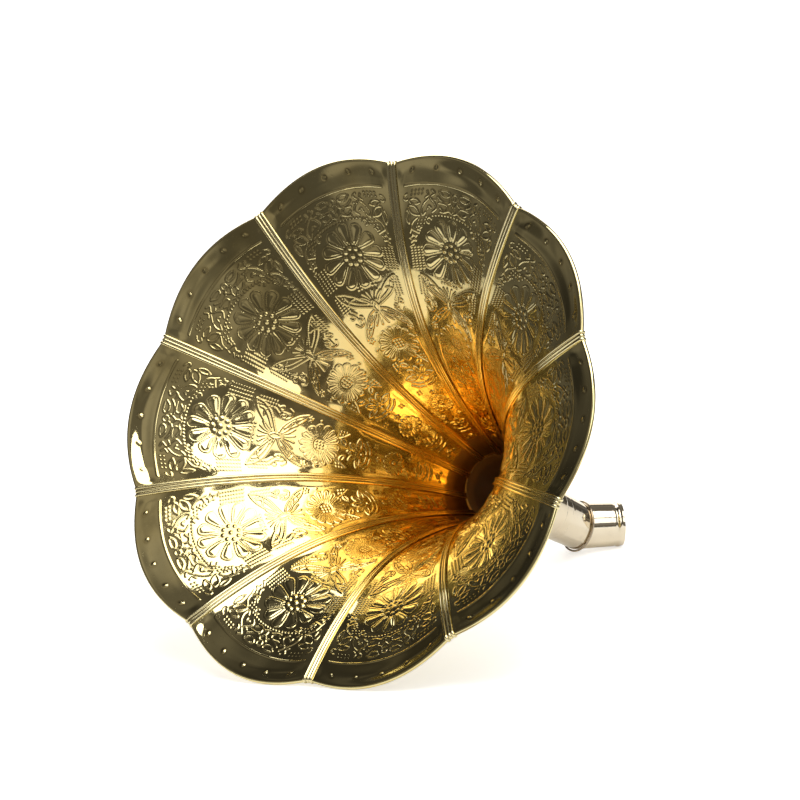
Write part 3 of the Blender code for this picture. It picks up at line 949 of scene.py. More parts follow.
@dataclass(frozen=True)
class PetalPattern:
    """Embossed pattern of one petal, in millimetres; y is the distance from the rim's edge.

    The fields give where each motif lies; a motif's own strokes are drawn about that place.
    """

    border: float = 24.5
    border_half: float = 61.0
    channel: float = 0.75
    rivet_y: float = 9.5
    rivet_step: float = 27.5
    scroll_y: float = 30.0
    bead_arc: float = 52.5
    daisy: float = 88.0
    butterfly: float = 143.0
    small_daisy: float = 188.0
    lily: float = 233.0
    tiny_daisy: float = 273.0
    end_lily: float = 308.0

    def draw(self, relief: Relief) -> None:
        """Raise the whole pattern.

        Args:
            relief: the sheet it is raised on.
        """
        self.draw_border(relief)
        for side in (-1.0, 1.0):
            self.draw_scrolls(relief, side)
            self.draw_corner(relief, side)
            self.draw_flower_sides(relief, side)
            self.draw_wing(relief, side)
            self.draw_lower_side(relief, side)
        self.draw_middle(relief)

    def draw_border(self, relief: Relief) -> None:
        """The line inside the rim and the round bumps of the border.

        Args:
            relief: the sheet they are raised on.
        """
        relief.line([(-self.border_half, self.border - 1.0), (0.0, self.border + 0.5),
                     (self.border_half, self.border - 1.0)], 1.15, 0.7)
        for i in range(-2, 3):
            relief.dot(i * self.rivet_step, self.rivet_y, 2.7, 0.8)

    def draw_scrolls(self, relief: Relief, side: float) -> None:
        """Scrolls of one half between the border and the arc of beads.

        Args:
            relief: the sheet they are raised on.
            side: -1 or 1.
        """
        y = self.scroll_y
        strokes = [
            [(19, 1), (14, 5), (8, 5), (6, 2), (10, 0), (17, 0)],
            [(20, 6), (16, 9), (11, 11), (6, 11), (3, 8)],
            [(16, 16), (11, 19), (7, 17), (8, 13), (14, 12), (18, 12)],
            [(1, 20), (5, 18), (10, 20), (15, 20)],
            [(28, 0), (24, 3), (28, 7), (23, 12), (20, 17), (24, 21)],
            [(33, 1), (31, 5), (34, 7)],
            [(26, 10), (22, 9)],
            [(30, 8), (35, 13), (37, 19), (35, 24), (32, 21)],
            [(26, 17), (29, 15), (30, 18)],
        ]
        for stroke in strokes:
            relief.line(mirrored(stroke, side, y))
        relief.dots(side * 38.5, y - 0.5, 4, 2, (side * 4.1, 3.6))
        relief.ring(side * 27.0, self.bead_arc + 6.5, 2.8, 200.0 if side > 0 else -20.0, 250.0 * side)
        relief.dots(side * 32.0, self.bead_arc + 5.5, 3, 2, (side * 3.8, 3.4), side * 0.6)
        for i in range(9):
            across = side * (1.8 + 3.6 * i)
            relief.dot(across, self.bead_arc + 0.0032 * across * across, 1.45, 0.62)

    def draw_corner(self, relief: Relief, side: float) -> None:
        """Lily and ring of one upper corner.

        Args:
            relief: the sheet they are raised on.
            side: -1 or 1.
        """
        for base, tip, width in (((40, 42), (53, 38.5), 2.6), ((39, 54), (53, 43.5), 3.2),
                                 ((50.5, 61), (55, 47), 2.2)):
            relief.leaf(*mirrored([base, tip], side), width)
        relief.ring(side * 57.0, 35.0, 3.0, -100.0 if side > 0 else 280.0, 230.0 * side)
        relief.line(mirrored([(41, 56), (46, 60), (47, 66), (42, 69), (38, 71)], side))

    def draw_flower_sides(self, relief: Relief, side: float) -> None:
        """Star, dashes and beads of one side of the large flower.

        Args:
            relief: the sheet they are raised on.
            side: -1 or 1.
        """
        relief.star(side * 44.5, 75.5, 4.6, 12.0 * side)
        relief.star(side * 38.5, 66.0, 3.2, -10.0 * side)
        relief.line(mirrored([(48.5, 70), (47, 65)], side), 0.95)
        relief.line(mirrored([(47.5, 83.5), (44, 82)], side), 0.95)
        relief.dots(side * 34.5, 85.0, 4, 9, (side * 3.9, 2.75), -side * 0.45, 1.35)

    def draw_wing(self, relief: Relief, side: float) -> None:
        """One half of the butterfly.

        Args:
            relief: the sheet they are raised on.
            side: -1 or 1.
        """
        y = self.butterfly
        edges = [
            [(35, -30), (27, -26), (18, -19), (10, -11), (4, -5)],
            [(35, -30), (31, -20), (23, -11), (13, -5), (4, -1)],
            [(19, -17), (24, -17), (27, -15)],
            [(27, -23), (25, -18), (17, -11), (8, -6)],
            [(4, 2), (11, 5), (18, 11), (24, 18), (27, 26)],
            [(27, 26), (20, 23), (14, 17), (9, 11), (4, 6)],
            [(22, 21), (17, 13), (9, 7)],
            [(14, 18), (18, 18), (21, 15)],
        ]
        for edge in edges:
            relief.line(mirrored(edge, side, y), 1.05, 0.64)
        for turn, reach in ((9.0, 19.0), (26.0, 20.0), (42.0, 20.5)):
            lean = math.radians(turn)
            relief.line([(side * r * math.sin(lean * grow), y + r * math.cos(lean * grow))
                         for r, grow in ((6.5, 0.8), (13.0, 0.9), (reach, 1.15))], 1.2, 0.68)
        for turn, reach in ((8.0, 18.0), (21.0, 19.0), (33.0, 20.0)):
            lean = math.radians(turn)
            relief.line([(side * r * math.sin(lean * grow), y - r * math.cos(lean * grow))
                         for r, grow in ((7.5, 0.8), (13.0, 0.95), (reach, 1.2))], 1.05, 0.62)
        relief.dots(side * 2.0, y - 25.5, 3, 2, (side * 3.6, 3.2), side * 0.3, 1.35)
        relief.dots(side * 30.0, y - 27.0, 3, 7, (side * 3.6, 2.9), -side * 0.35, 1.25)
        for stroke in ([(31, -7), (26, -1)], [(27.5, -8), (23, -2.5)], [(25, 0.5), (24, 8)]):
            relief.line(mirrored(stroke, side, y), 1.0)
        relief.ring(side * 29.0, y - 2.0, 2.4, 0.0, 300.0)
        relief.line(mirrored([(29.5, 6), (26, 10.5), (21, 9.5), (18.5, 5.5)], side, y))
        relief.ring(side * 21.0, y + 3.0, 2.0, 0.0, 270.0)

    def draw_lower_side(self, relief: Relief, side: float) -> None:
        """Small stars, beads and leaves of one side towards the throat.

        Args:
            relief: the sheet they are raised on.
            side: -1 or 1.
        """
        relief.star(side * 23.5, 172.0, 2.8, 20.0 * side)
        relief.dot(side * 24.0, 183.0, 1.6, 0.5)
        relief.dots(side * 15.0, 207.0, 2, 3, (side * 3.4, 3.2), 0.0, 1.4)
        relief.line(mirrored([(10, 205), (13, 211), (17.5, 217)], side), 1.1)
        relief.leaf(*mirrored([(5, 216), (12, 210)], side), 1.8)
        y = self.lily
        relief.leaf(*mirrored([(3, -1), (15.5, -4)], side, y), 2.4, True)
        relief.leaf(*mirrored([(2, -3), (9, -13)], side, y), 2.2, True)
        relief.line(mirrored([(14, 5), (9, 10), (2, 12)], side, y))
        relief.line(mirrored([(12, 1.5), (7, 6), (1.5, 7.5)], side, y))
        relief.dots(side * 11.0, y + 15.0, 2, 2, (side * 3.0, 3.0), 0.0, 1.3)
        relief.star(side * 9.5, 292.0, 2.4, 0.0)
        y = self.end_lily
        relief.leaf(*mirrored([(1.5, 0), (8, -5)], side, y), 1.8)
        relief.line(mirrored([(8.5, 3), (5, 7), (1, 8)], side, y))
        relief.line(mirrored([(6, 12), (0.5, 13.5)], side, y))
        relief.dot(side * 5.0, 333.0, 1.6, 0.5)

    def draw_middle(self, relief: Relief) -> None:
        """Flowers and leaves on the petal's middle line.

        Args:
            relief: the sheet they are raised on.
        """
        relief.ring(0.0, self.scroll_y + 4.5, 3.0, 0.0, 360.0, 1.0)
        relief.line([(-5.0, 38.0), (0.0, 43.5), (5.0, 38.0)])
        relief.line([(0.0, 44.0), (0.0, 48.0)], 1.0)
        centre = (0.0, self.daisy)
        relief.swell(*centre, 42.0, -0.6)
        relief.swell(*centre, 13.0, 0.6)
        relief.daisy(centre, 12, 12.0, 33.0, 5.4, 0.95)
        relief.dot(*centre, 3.0, 0.95)
        for i in range(8):
            turn = math.radians(45.0 * i)
            relief.dot(8.0 * math.cos(turn), self.daisy + 8.0 * math.sin(turn), 2.8, 0.9)
        relief.swell(0.0, self.butterfly, 12.0, 0.6)
        relief.leaf((0.0, self.butterfly + 6.0), (0.0, self.butterfly - 7.0), 2.6)
        centre = (0.0, self.small_daisy)
        relief.swell(*centre, 23.0, -0.4)
        relief.daisy(centre, 14, 7.0, 21.0, 3.0, 0.9)
        relief.dots(-3.4, self.small_daisy - 3.4, 3, 3, (3.4, 3.4), 0.0, 1.35, 0.6)
        relief.leaf((0.0, self.lily - 2.0), (0.0, self.lily - 15.0), 2.4, True)
        relief.dot(0.0, self.lily + 2.0, 2.2, 0.7)
        centre = (0.0, self.tiny_daisy)
        relief.daisy(centre, 12, 4.6, 11.5, 1.7, 0.85)
        relief.dot(*centre, 2.4, 0.7)
        relief.star(0.0, 255.0, 2.6)
        relief.leaf((0.0, self.end_lily), (0.0, self.end_lily - 9.0), 1.9)
        relief.dot(0.0, self.end_lily + 3.5, 1.5, 0.5)
        relief.star(0.0, 330.0, 2.3)


# ---------------------------------------------------------------- the bell

@dataclass
class Bell:
    """The ten petals, their bead strips and backing strips, and the wire in the rim."""

    flare: Flare
    place: Matrix
    pattern: PetalPattern = PetalPattern()
    seam_gap: float = 0.0020
    outside_relief: float = 0.8
    outside_darkening: float = 0.4
    waves: tuple[tuple[float, float], ...] = ((120.0, 0.55), (75.0, 0.30), (45.0, 0.07))
    waves_of_each: int = 3
    first_seed: int = 40
    hem_turn: float = math.radians(270.0)
    hem_steps: int = 20
    border_reach: float = 0.023
    border_cell: float = 0.0010
    front_cell: float = 0.00070
    back_cell: float = 0.00145
    wire_radius: float = 0.0012
    wire_sides: int = 12
    wire_steps: int = 601
    strip_rim_width: float = 0.0110
    strip_throat_width: float = 0.0070
    strip_bead: float = 0.0014
    strip_bead_half: float = 0.00165
    strip_wrap: float = math.radians(190.0)
    strip_metal: float = 0.0004
    strip_fold: float = 0.0008
    strip_fold_share: float = 0.24
    strip_edge: float = 0.985
    strip_columns: int = 35
    strip_rows: int = 110
    wrap_rows: int = 19
    neck_overlap: float = 0.0106
    backing_width_share: float = 0.75
    backing_thickness: float = 0.0010
    backing_columns: int = 15
    backing_rows: int = 120
    ferrule_front: float = 0.0126
    deep_from: float = 0.85
    deep_to: float = 0.33

    def build(self) -> None:
        """Make every piece of the bell."""
        self.length = self.flare.length
        self.bender = self.flare.tree()
        self.sweeper = wire_tree()
        self.build_petals()
        self.build_strips()
        self.build_backings()
        self.build_wire()

    def runs(self, cell: float) -> list[float]:
        """Rows of a skin from the throat (1) to the rim (0), with wide cells in the plain border.

        Args:
            cell: distance between rows where the pattern is.

        Returns:
            Place of each row.
        """
        border = self.border_reach / self.length
        wide = np.linspace(border, 0.0, int(self.border_reach / self.border_cell) + 1)
        close = np.linspace(1.0, border, int((self.length - self.border_reach) / cell) + 1)
        return list(close[:-1]) + list(wide)

    def petal_row(self, run: float, cell: float) -> tuple[np.ndarray, ...]:
        """Points of one row of a petal.

        Args:
            run: 0 at the rim to 1 at the throat.
            cell: distance between columns.

        Returns:
            Angle from the petal's middle, flat X and Y, and the place in the pattern, across and
            from the rim in millimetres.
        """
        start = self.length * (1.0 - run)
        radius = float(self.flare.radius(start))
        half = self.flare.half_pitch - 0.5 * self.seam_gap / radius
        count = max(8, int(2.0 * half * radius / cell))
        angle = np.linspace(-half, half, count + 1)
        along = start + self.flare.lobe_reach * self.flare.lobe(angle) * (1.0 - run) ** 3
        across = angle * self.flare.radius(along)
        from_rim = np.full(count + 1, run * self.length * MM_PER_M)
        return angle, across, along, angle * radius * MM_PER_M, from_rim

    def petal_blank(self) -> tuple[dict[str, np.ndarray], np.ndarray]:
        """Flat sheet of a petal with its rolled hem, before the pattern is pressed in.

        Returns:
            Columns of its vertices: flat place x, y and z, place in the pattern px and py, and skin,
            -1 inside, 1 outside and 0 on the hem. And its triangles.
        """
        sheet = SheetTopology()
        columns: dict[str, list[np.ndarray]] = {name: [] for name in ("x", "y", "z", "px", "py", "skin")}

        def keep(x: np.ndarray, y: np.ndarray, z: np.ndarray, px: np.ndarray, py: np.ndarray,
                 skin: float) -> None:
            """Keep one row of vertices."""
            for name, values in zip(columns, (x, y, z, px, py, np.full(len(x), skin))):
                columns[name].append(values)

        half_sheet = 0.5 * self.flare.sheet
        for skin, side, cell in ((sheet.inner, -1.0, self.front_cell), (sheet.outer, 1.0, self.back_cell)):
            for run in self.runs(cell):
                wide = self.border_cell if run * self.length < self.border_reach - 1e-6 else cell
                angle, x, y, px, py = self.petal_row(run, wide)
                sheet.add(skin, -run, angle)
                keep(x, y, np.full(len(x), side * half_sheet), px, py, side)
            radius = self.flare.hem_radius - side * half_sheet
            angle, x, y, px, py = self.petal_row(0.0, self.border_cell)
            for i in range(1, self.hem_steps + 1):
                turn = self.hem_turn * i / self.hem_steps
                sheet.add(skin, i / self.hem_steps, angle)
                z = np.full(len(x), self.flare.hem_radius - radius * math.cos(turn))
                keep(x, y + radius * math.sin(turn), z, px, py, 0.0)
        return {name: np.concatenate(values) for name, values in columns.items()}, sheet.faces()

    def build_petals(self) -> None:
        """Make the petals: one pressed sheet, and ten copies with their own unevenness."""
        flat, faces = self.petal_blank()
        relief = Relief(flat["px"], flat["py"])
        self.pattern.draw(relief)
        on_sheet, seen_inside = np.abs(flat["skin"]), flat["skin"] < 0.0
        pressed = np.where(flat["skin"] > 0.0, self.outside_relief, 1.0)
        raised = (relief.raised + relief.domed) * pressed * on_sheet
        raised += self.channel(flat["px"], flat["py"]) * on_sheet
        # The darker bands at the ridges' feet, weaker on the outside skin.
        grime = np.where(seen_inside, relief.grime, self.outside_darkening * relief.grime)
        # Only the inside skin takes the painted warm tone of light bounced deep in the bell.
        depth = self.depth(flat["y"]) * seen_inside
        for number in range(1, self.flare.petals + 1):
            uneven = self.unevenness(flat["px"], flat["py"], number) * on_sheet
            points = np.stack([flat["x"], flat["y"], flat["z"] - MILLIMETRE * (raised + uneven)], 1)
            piece = new_piece(f"petal_sheet_{number:02d}", points, faces)
            paint_value(piece, "grime", grime)
            paint_value(piece, "depth", depth)
            middle = self.flare.seam_angle(number) - self.flare.half_pitch
            self.flare.bend(self.bender, piece, middle, PETAL_BRASS)
            piece = settle(piece, self.place)
            hand_over(piece, Body.HORN, Slot.PETAL, f"petal_{number:02d}")

    def depth(self, along: np.ndarray) -> np.ndarray:
        """How deep in the bell, 0 near the rim to 1 near the throat, where the colour turns to the painted
        tone of warm bounced light and the roughness rises.
        """
        return smooth_step((self.deep_from - along / self.length) / (self.deep_from - self.deep_to))

    def half_width(self, py: np.ndarray) -> np.ndarray:
        """Half a petal's width in millimetres at a distance from the rim."""
        return self.flare.half_pitch * self.flare.radius(self.length - MILLIMETRE * py) * MM_PER_M

    def channel(self, px: np.ndarray, py: np.ndarray) -> np.ndarray:
        """Shallow hollow of the border between the hem and the embossed line, fading at the seams.

        Args:
            px: places across the petal.
            py: places from the rim.

        Returns:
            Height in millimetres, below zero in the hollow.
        """
        share = np.clip(py / (self.pattern.border - 1.0), 0.0, 1.0)
        side = smooth_step((self.half_width(py) - np.abs(px) - 4.0) / 10.0)
        return -self.pattern.channel * np.sin(math.pi * share) ** 1.5 * side

    def unevenness(self, px: np.ndarray, py: np.ndarray, seed: int) -> np.ndarray:
        """Slow waves that pressing leaves in a thin sheet.

        Args:
            px: places across the petal.
            py: places from the rim.
            seed: number of the petal.

        Returns:
            Height in millimetres, nothing along the seams and the rim.
        """
        dice = np.random.default_rng(self.first_seed + seed)
        half = self.half_width(py)
        inside = np.clip((half - np.abs(px)) / half * 3.0, 0.0, 1.0) * np.clip(py / 15.0, 0.0, 1.0)
        waves = np.zeros_like(px)
        for length, height in self.waves:
            for _ in range(self.waves_of_each):
                turn, phase = dice.uniform(0.0, math.pi), dice.uniform(0.0, FULL_TURN)
                waves += height * np.sin((px * math.cos(turn) + py * math.sin(turn))
                                         * FULL_TURN / length + phase)
        return waves * smooth_step(inside) * np.clip(half / 60.0, 0.04, 1.0)

    def strip_profile(self, share: np.ndarray, half: float) -> np.ndarray:
        """Height of a bead strip's face above its underside.

        Args:
            share: place across the strip, -1 to 1.
            half: half its width in metres.

        Returns:
            Height in metres.
        """
        across = np.abs(share) * half
        middle = half - self.strip_bead_half
        round_top = np.sqrt(np.clip(1.0 - ((across - middle) / self.strip_bead_half) ** 2, 0.0, 1.0))
        fold = np.clip(1.0 - (across / (self.strip_fold_share * half)) ** 2, 0.0, 1.0) ** 0.5
        return np.maximum(self.strip_metal + self.strip_fold * fold,
                          self.strip_metal + self.strip_bead * round_top)

    def strip_half(self, run: float) -> float:
        """Half a bead strip's width, from the rim (0) to the throat (1)."""
        return 0.5 * (self.strip_rim_width + run * (self.strip_throat_width - self.strip_rim_width))

    def on_seams(self, name: str, node: str, sheet: SheetTopology, points: np.ndarray, crease: float,
                 values: dict[str, np.ndarray]) -> None:
        """Put a copy of a flat strip on each seam.

        Args:
            name: start of the pieces' names.
            node: start of the names of the CAD nodes that they stand for.
            sheet: the strip's rows.
            points: its vertices.
            crease: degrees past which an edge stays sharp.
            values: numbers for its vertices that its finish reads, by name.
        """
        faces = sheet.faces()
        for number in range(1, self.flare.petals + 1):
            piece = new_piece(f"{name}_{number:02d}", points, faces, crease)
            for key, numbers in values.items():
                paint_value(piece, key, numbers)
            self.flare.bend(self.bender, piece, self.flare.seam_angle(number), STRIP_BRASS)
            piece = settle(piece, self.place)
            hand_over(piece, Body.HORN, Slot.STRIP, f"{node}_{number:02d}")

    def build_strips(self) -> None:
        """Make the bead strips, from behind the rim, over it, and down to the neck's flange."""
        face = np.linspace(-self.strip_edge, self.strip_edge, self.strip_columns)
        share = np.concatenate([[-1.0], face, [1.0]])
        flange = self.flare.along_at(self.neck_overlap)
        runs = np.linspace(1.0 - flange / self.length, 0.0, self.strip_rows)
        turns = np.linspace(0.0, self.strip_wrap, self.wrap_rows)[1:]
        stations = [(run, 0.0) for run in runs] + [(0.0, turn) for turn in turns]
        under = 0.5 * self.flare.sheet + self.flare.clearance
        sheet, flat = SheetTopology(), []
        for skin, top in ((sheet.inner, True), (sheet.outer, False)):
            for number, (run, turn) in enumerate(stations):
                half = self.strip_half(run)
                along = self.length * (1.0 - run)
                off = under + (self.strip_profile(share, half) if top else np.zeros_like(share))
                y, z = np.full_like(share, along), -off
                if turn > 0.0:
                    reach = self.flare.hem_radius + off
                    y, z = along + reach * math.sin(turn), self.flare.hem_radius - reach * math.cos(turn)
                sheet.add(skin, float(number), share)
                flat.append(np.stack([share * half, y, z], 1))
        # Darker along the two grooves between the middle fold and the beads.
        groove = 0.9 * np.exp(-((np.abs(share) - 0.36) / 0.13) ** 4)
        points = np.concatenate(flat)
        # The strips also take the painted warm tone of bounced light towards the throat, through their depth
        # values.
        self.on_seams("bead_strip", "seam_strip", sheet, points, 70.0,
                      {"grime": np.tile(groove, 2 * len(stations)), "depth": self.depth(points[:, 1])})

    def build_backings(self) -> None:
        """Make the backing strips outside the bell, with rolled edges and a raised middle."""
        share = np.linspace(-1.0, 1.0, self.backing_columns)
        low = self.flare.along_at(self.ferrule_front)
        high = self.length - 2.0 * self.flare.hem_radius - self.flare.sheet
        under = 0.5 * self.flare.sheet + self.flare.clearance
        sheet, flat = SheetTopology(), []
        for skin, top in ((sheet.inner, False), (sheet.outer, True)):
            for number, along in enumerate(np.linspace(low, high, self.backing_rows)):
                half = self.backing_width_share * self.strip_half(1.0 - along / self.length)
                shape = 0.72 + 0.28 * np.clip(1.0 - ((np.abs(share) - 0.8) / 0.2) ** 2, 0.0, 1.0)
                shape += 0.35 * np.exp(-(share / 0.18) ** 2)
                raised = self.backing_thickness * shape if top else np.zeros_like(share)
                sheet.add(skin, float(number), share)
                flat.append(np.stack([share * half, np.full_like(share, along), under + raised], 1))
        self.on_seams("backing_strip", "seam_backing", sheet, np.concatenate(flat), 60.0, {})

    def build_wire(self) -> None:
        """Make the wire inside the rolled rim."""
        angle = np.linspace(0.0, FULL_TURN, self.wire_steps)
        first = self.flare.seam_angle(1)
        lobe = np.abs(np.sin(0.5 * self.flare.petals * (angle - first)))
        along = self.length + self.flare.lobe_reach * lobe
        across = angle * self.flare.radius(along)
        lift = np.full_like(along, self.flare.hem_radius)
        path = path_piece("hem_wire", np.stack([across, along, lift], 1), False)
        self.sweeper.use(path, {"Wire Radius": self.wire_radius, "Sides": self.wire_sides,
                                "Finish": DARK_BRASS.material()})
        self.flare.bend(self.bender, path, 0.0, DARK_BRASS)
        hand_over(settle(path, self.place), Body.HORN, Slot.DARK, "rim_wire")


# ---------------------------------------------------------------- the tubes

@dataclass
class Tube:
    """Closed wall of a round tube, from rings of points outside and inside."""

    name: str
    sides: int = 128

    def angles(self) -> np.ndarray:
        """Angles of the points of a ring."""
        return np.arange(self.sides) * FULL_TURN / self.sides

    def build(self, outside: list[np.ndarray], inside: list[np.ndarray], place: Matrix,
              finish: Brass) -> bpy.types.Object:
        """Join the rings into a closed wall.

        Args:
            outside: rings of points from the top down.
            inside: rings of points from the bottom up.
            place: matrix from the tube's frame to the world.
            finish: its finish.

        Returns:
            The finished piece.
        """
        rings = outside + inside
        count = self.sides
        faces = []
        for i in range(len(rings)):
            a, b = i * count, ((i + 1) % len(rings)) * count
            faces += [(a + k, b + k, b + (k + 1) % count, a + (k + 1) % count) for k in range(count)]
        piece = new_piece(self.name, np.concatenate(rings), faces, 50.0)
        piece.data.materials.append(finish.material())
        piece.data.transform(place)
        return piece

    def beside(self, angle: float, radius: np.ndarray | float) -> np.ndarray:
        """Distance of each point of a ring from the line at an angle, round the tube."""
        return np.angle(np.exp(1j * (self.angles() - angle))) * radius

    def ring(self, radius: np.ndarray | float, height: np.ndarray | float) -> np.ndarray:
        """Ring of points, with one radius and height or one for each point."""
        turn = self.angles()
        return np.stack([radius * np.cos(turn), radius * np.sin(turn), height + np.zeros(self.sides)], 1)


@dataclass
class Neck:
    """Neck tube and the ferrule over the petals' ends."""

    flare: Flare
    place: Matrix
    wall: float = 0.0008
    overlap: float = 0.0100
    end_radius: float = 0.0284
    socket: float = 0.0300
    ferrule_front: float = 0.0120
    ferrule_back: float = 0.0080
    ferrule_clearance: float = 0.0005
    ferrule_bead: float = 0.0006
    seam_angle: float = math.radians(-60.0)
    seam_raise: float = 0.00035

    def beside(self, lift: float, rise: float) -> tuple[float, float]:
        """Radius and height of a point beside the flare.

        Args:
            lift: distance off the flare, outwards.
            rise: height above the throat.

        Returns:
            Radius, and height above the neck's end.
        """
        step = 0.001
        share = rise / self.flare.bell_depth
        radius = float(self.flare.radius_at_rise(share))
        ahead = float(self.flare.radius_at_rise(share + step))
        slope = (ahead - radius) / (step * self.flare.bell_depth)
        length = math.hypot(1.0, slope)
        return radius + lift / length, self.flare.neck_length + rise - lift * slope / length

    def build(self) -> None:
        """Make the neck tube and the ferrule."""
        skin = 0.5 * self.flare.sheet + self.flare.clearance
        tube = Tube("neck_pipe")
        rises = np.linspace(self.overlap, 0.0, 8)
        outer = [self.beside(-skin, rise) for rise in rises]
        inner = [self.beside(-skin - self.wall, rise) for rise in rises]
        top_out, top_in = outer[-1], inner[-1]
        bore = self.end_radius - self.wall
        for share in np.linspace(0.05, 1.0, 20):
            height = top_out[1] + share * (self.socket - top_out[1])
            outer.append((top_out[0] + share * (self.end_radius - top_out[0]), height))
            inner.append((top_in[0] + share * (bore - top_in[0]), height))
        for height in np.linspace(self.socket - 0.002, 0.0006, 12):
            outer.append((self.end_radius, height))
            inner.append((bore, height))
        outer.append((self.end_radius - 0.0002, 0.0))
        inner.append((bore + 0.0001, 0.0))
        outside = [tube.ring(self.seamed(tube, r, h), h) for r, h in outer]
        inside = [tube.ring(r, h) for r, h in reversed(inner)]
        piece = tube.build(outside, inside, self.place, TUBE_BRASS)
        # The inside rows and the rows hidden under the petals get the painted shade tone of the tube's
        # inside.
        rows = np.arange(len(outside) + len(inside))
        in_bell = (rows >= len(outside)) | (rows < len(rises))
        paint_value(piece, "depth", np.repeat(in_bell, tube.sides))
        hand_over(piece, Body.HORN, Slot.TUBE, "neck_tube")
        self.build_ferrule()

    def seamed(self, tube: Tube, radius: float, height: float) -> np.ndarray:
        """Radius round a ring with the tube's folded seam standing a little proud.

        Args:
            tube: the tube.
            radius: radius of the ring.
            height: height of the ring.

        Returns:
            Radius of each point.
        """
        fade = np.clip((self.flare.neck_length - 0.012 - height) / 0.004, 0.0, 1.0)
        away = tube.beside(self.seam_angle, radius)
        return radius + self.seam_raise * fade * np.exp(-(away / 0.0022) ** 6)

    def build_ferrule(self) -> None:
        """Make the ferrule, with a bead at its front and at its back edge."""
        skin = 0.5 * self.flare.sheet + self.ferrule_clearance
        tube = Tube("neck_ferrule")
        outer, inner = [], []
        for rise in np.linspace(self.ferrule_front, 0.0, 13):
            outer.append(self.beside(skin + self.wall, rise))
            inner.append(self.beside(skin, rise))
        end = self.flare.neck_length - self.ferrule_back
        last = self.end_radius + (end - self.socket) / (self.flare.neck_length - self.socket) * (
            self.beside(-0.5 * self.flare.sheet - self.flare.clearance, 0.0)[0] - self.end_radius)
        last += self.flare.clearance + 0.0004
        start_out, start_in = outer[-1], inner[-1]
        for share in np.linspace(0.1, 1.0, 10):
            height = start_out[1] + share * (end - start_out[1])
            outer.append((start_out[0] + share * (last + self.wall - start_out[0]), height))
            inner.append((start_in[0] + share * (last - start_in[0]), height))
        places = np.linspace(0.0, 1.0, len(outer))
        beads = self.ferrule_bead * (np.exp(-((places - 0.08) / 0.05) ** 2)
                                     + np.exp(-((places - 0.93) / 0.05) ** 2))
        outside = [tube.ring(r + bead, h) for (r, h), bead in zip(outer, beads)]
        inside = [tube.ring(r, h) for r, h in reversed(inner)]
        piece = tube.build(outside, inside, self.place, DARK_BRASS)
        hand_over(piece, Body.HORN, Slot.DARK, "throat_ferrule")


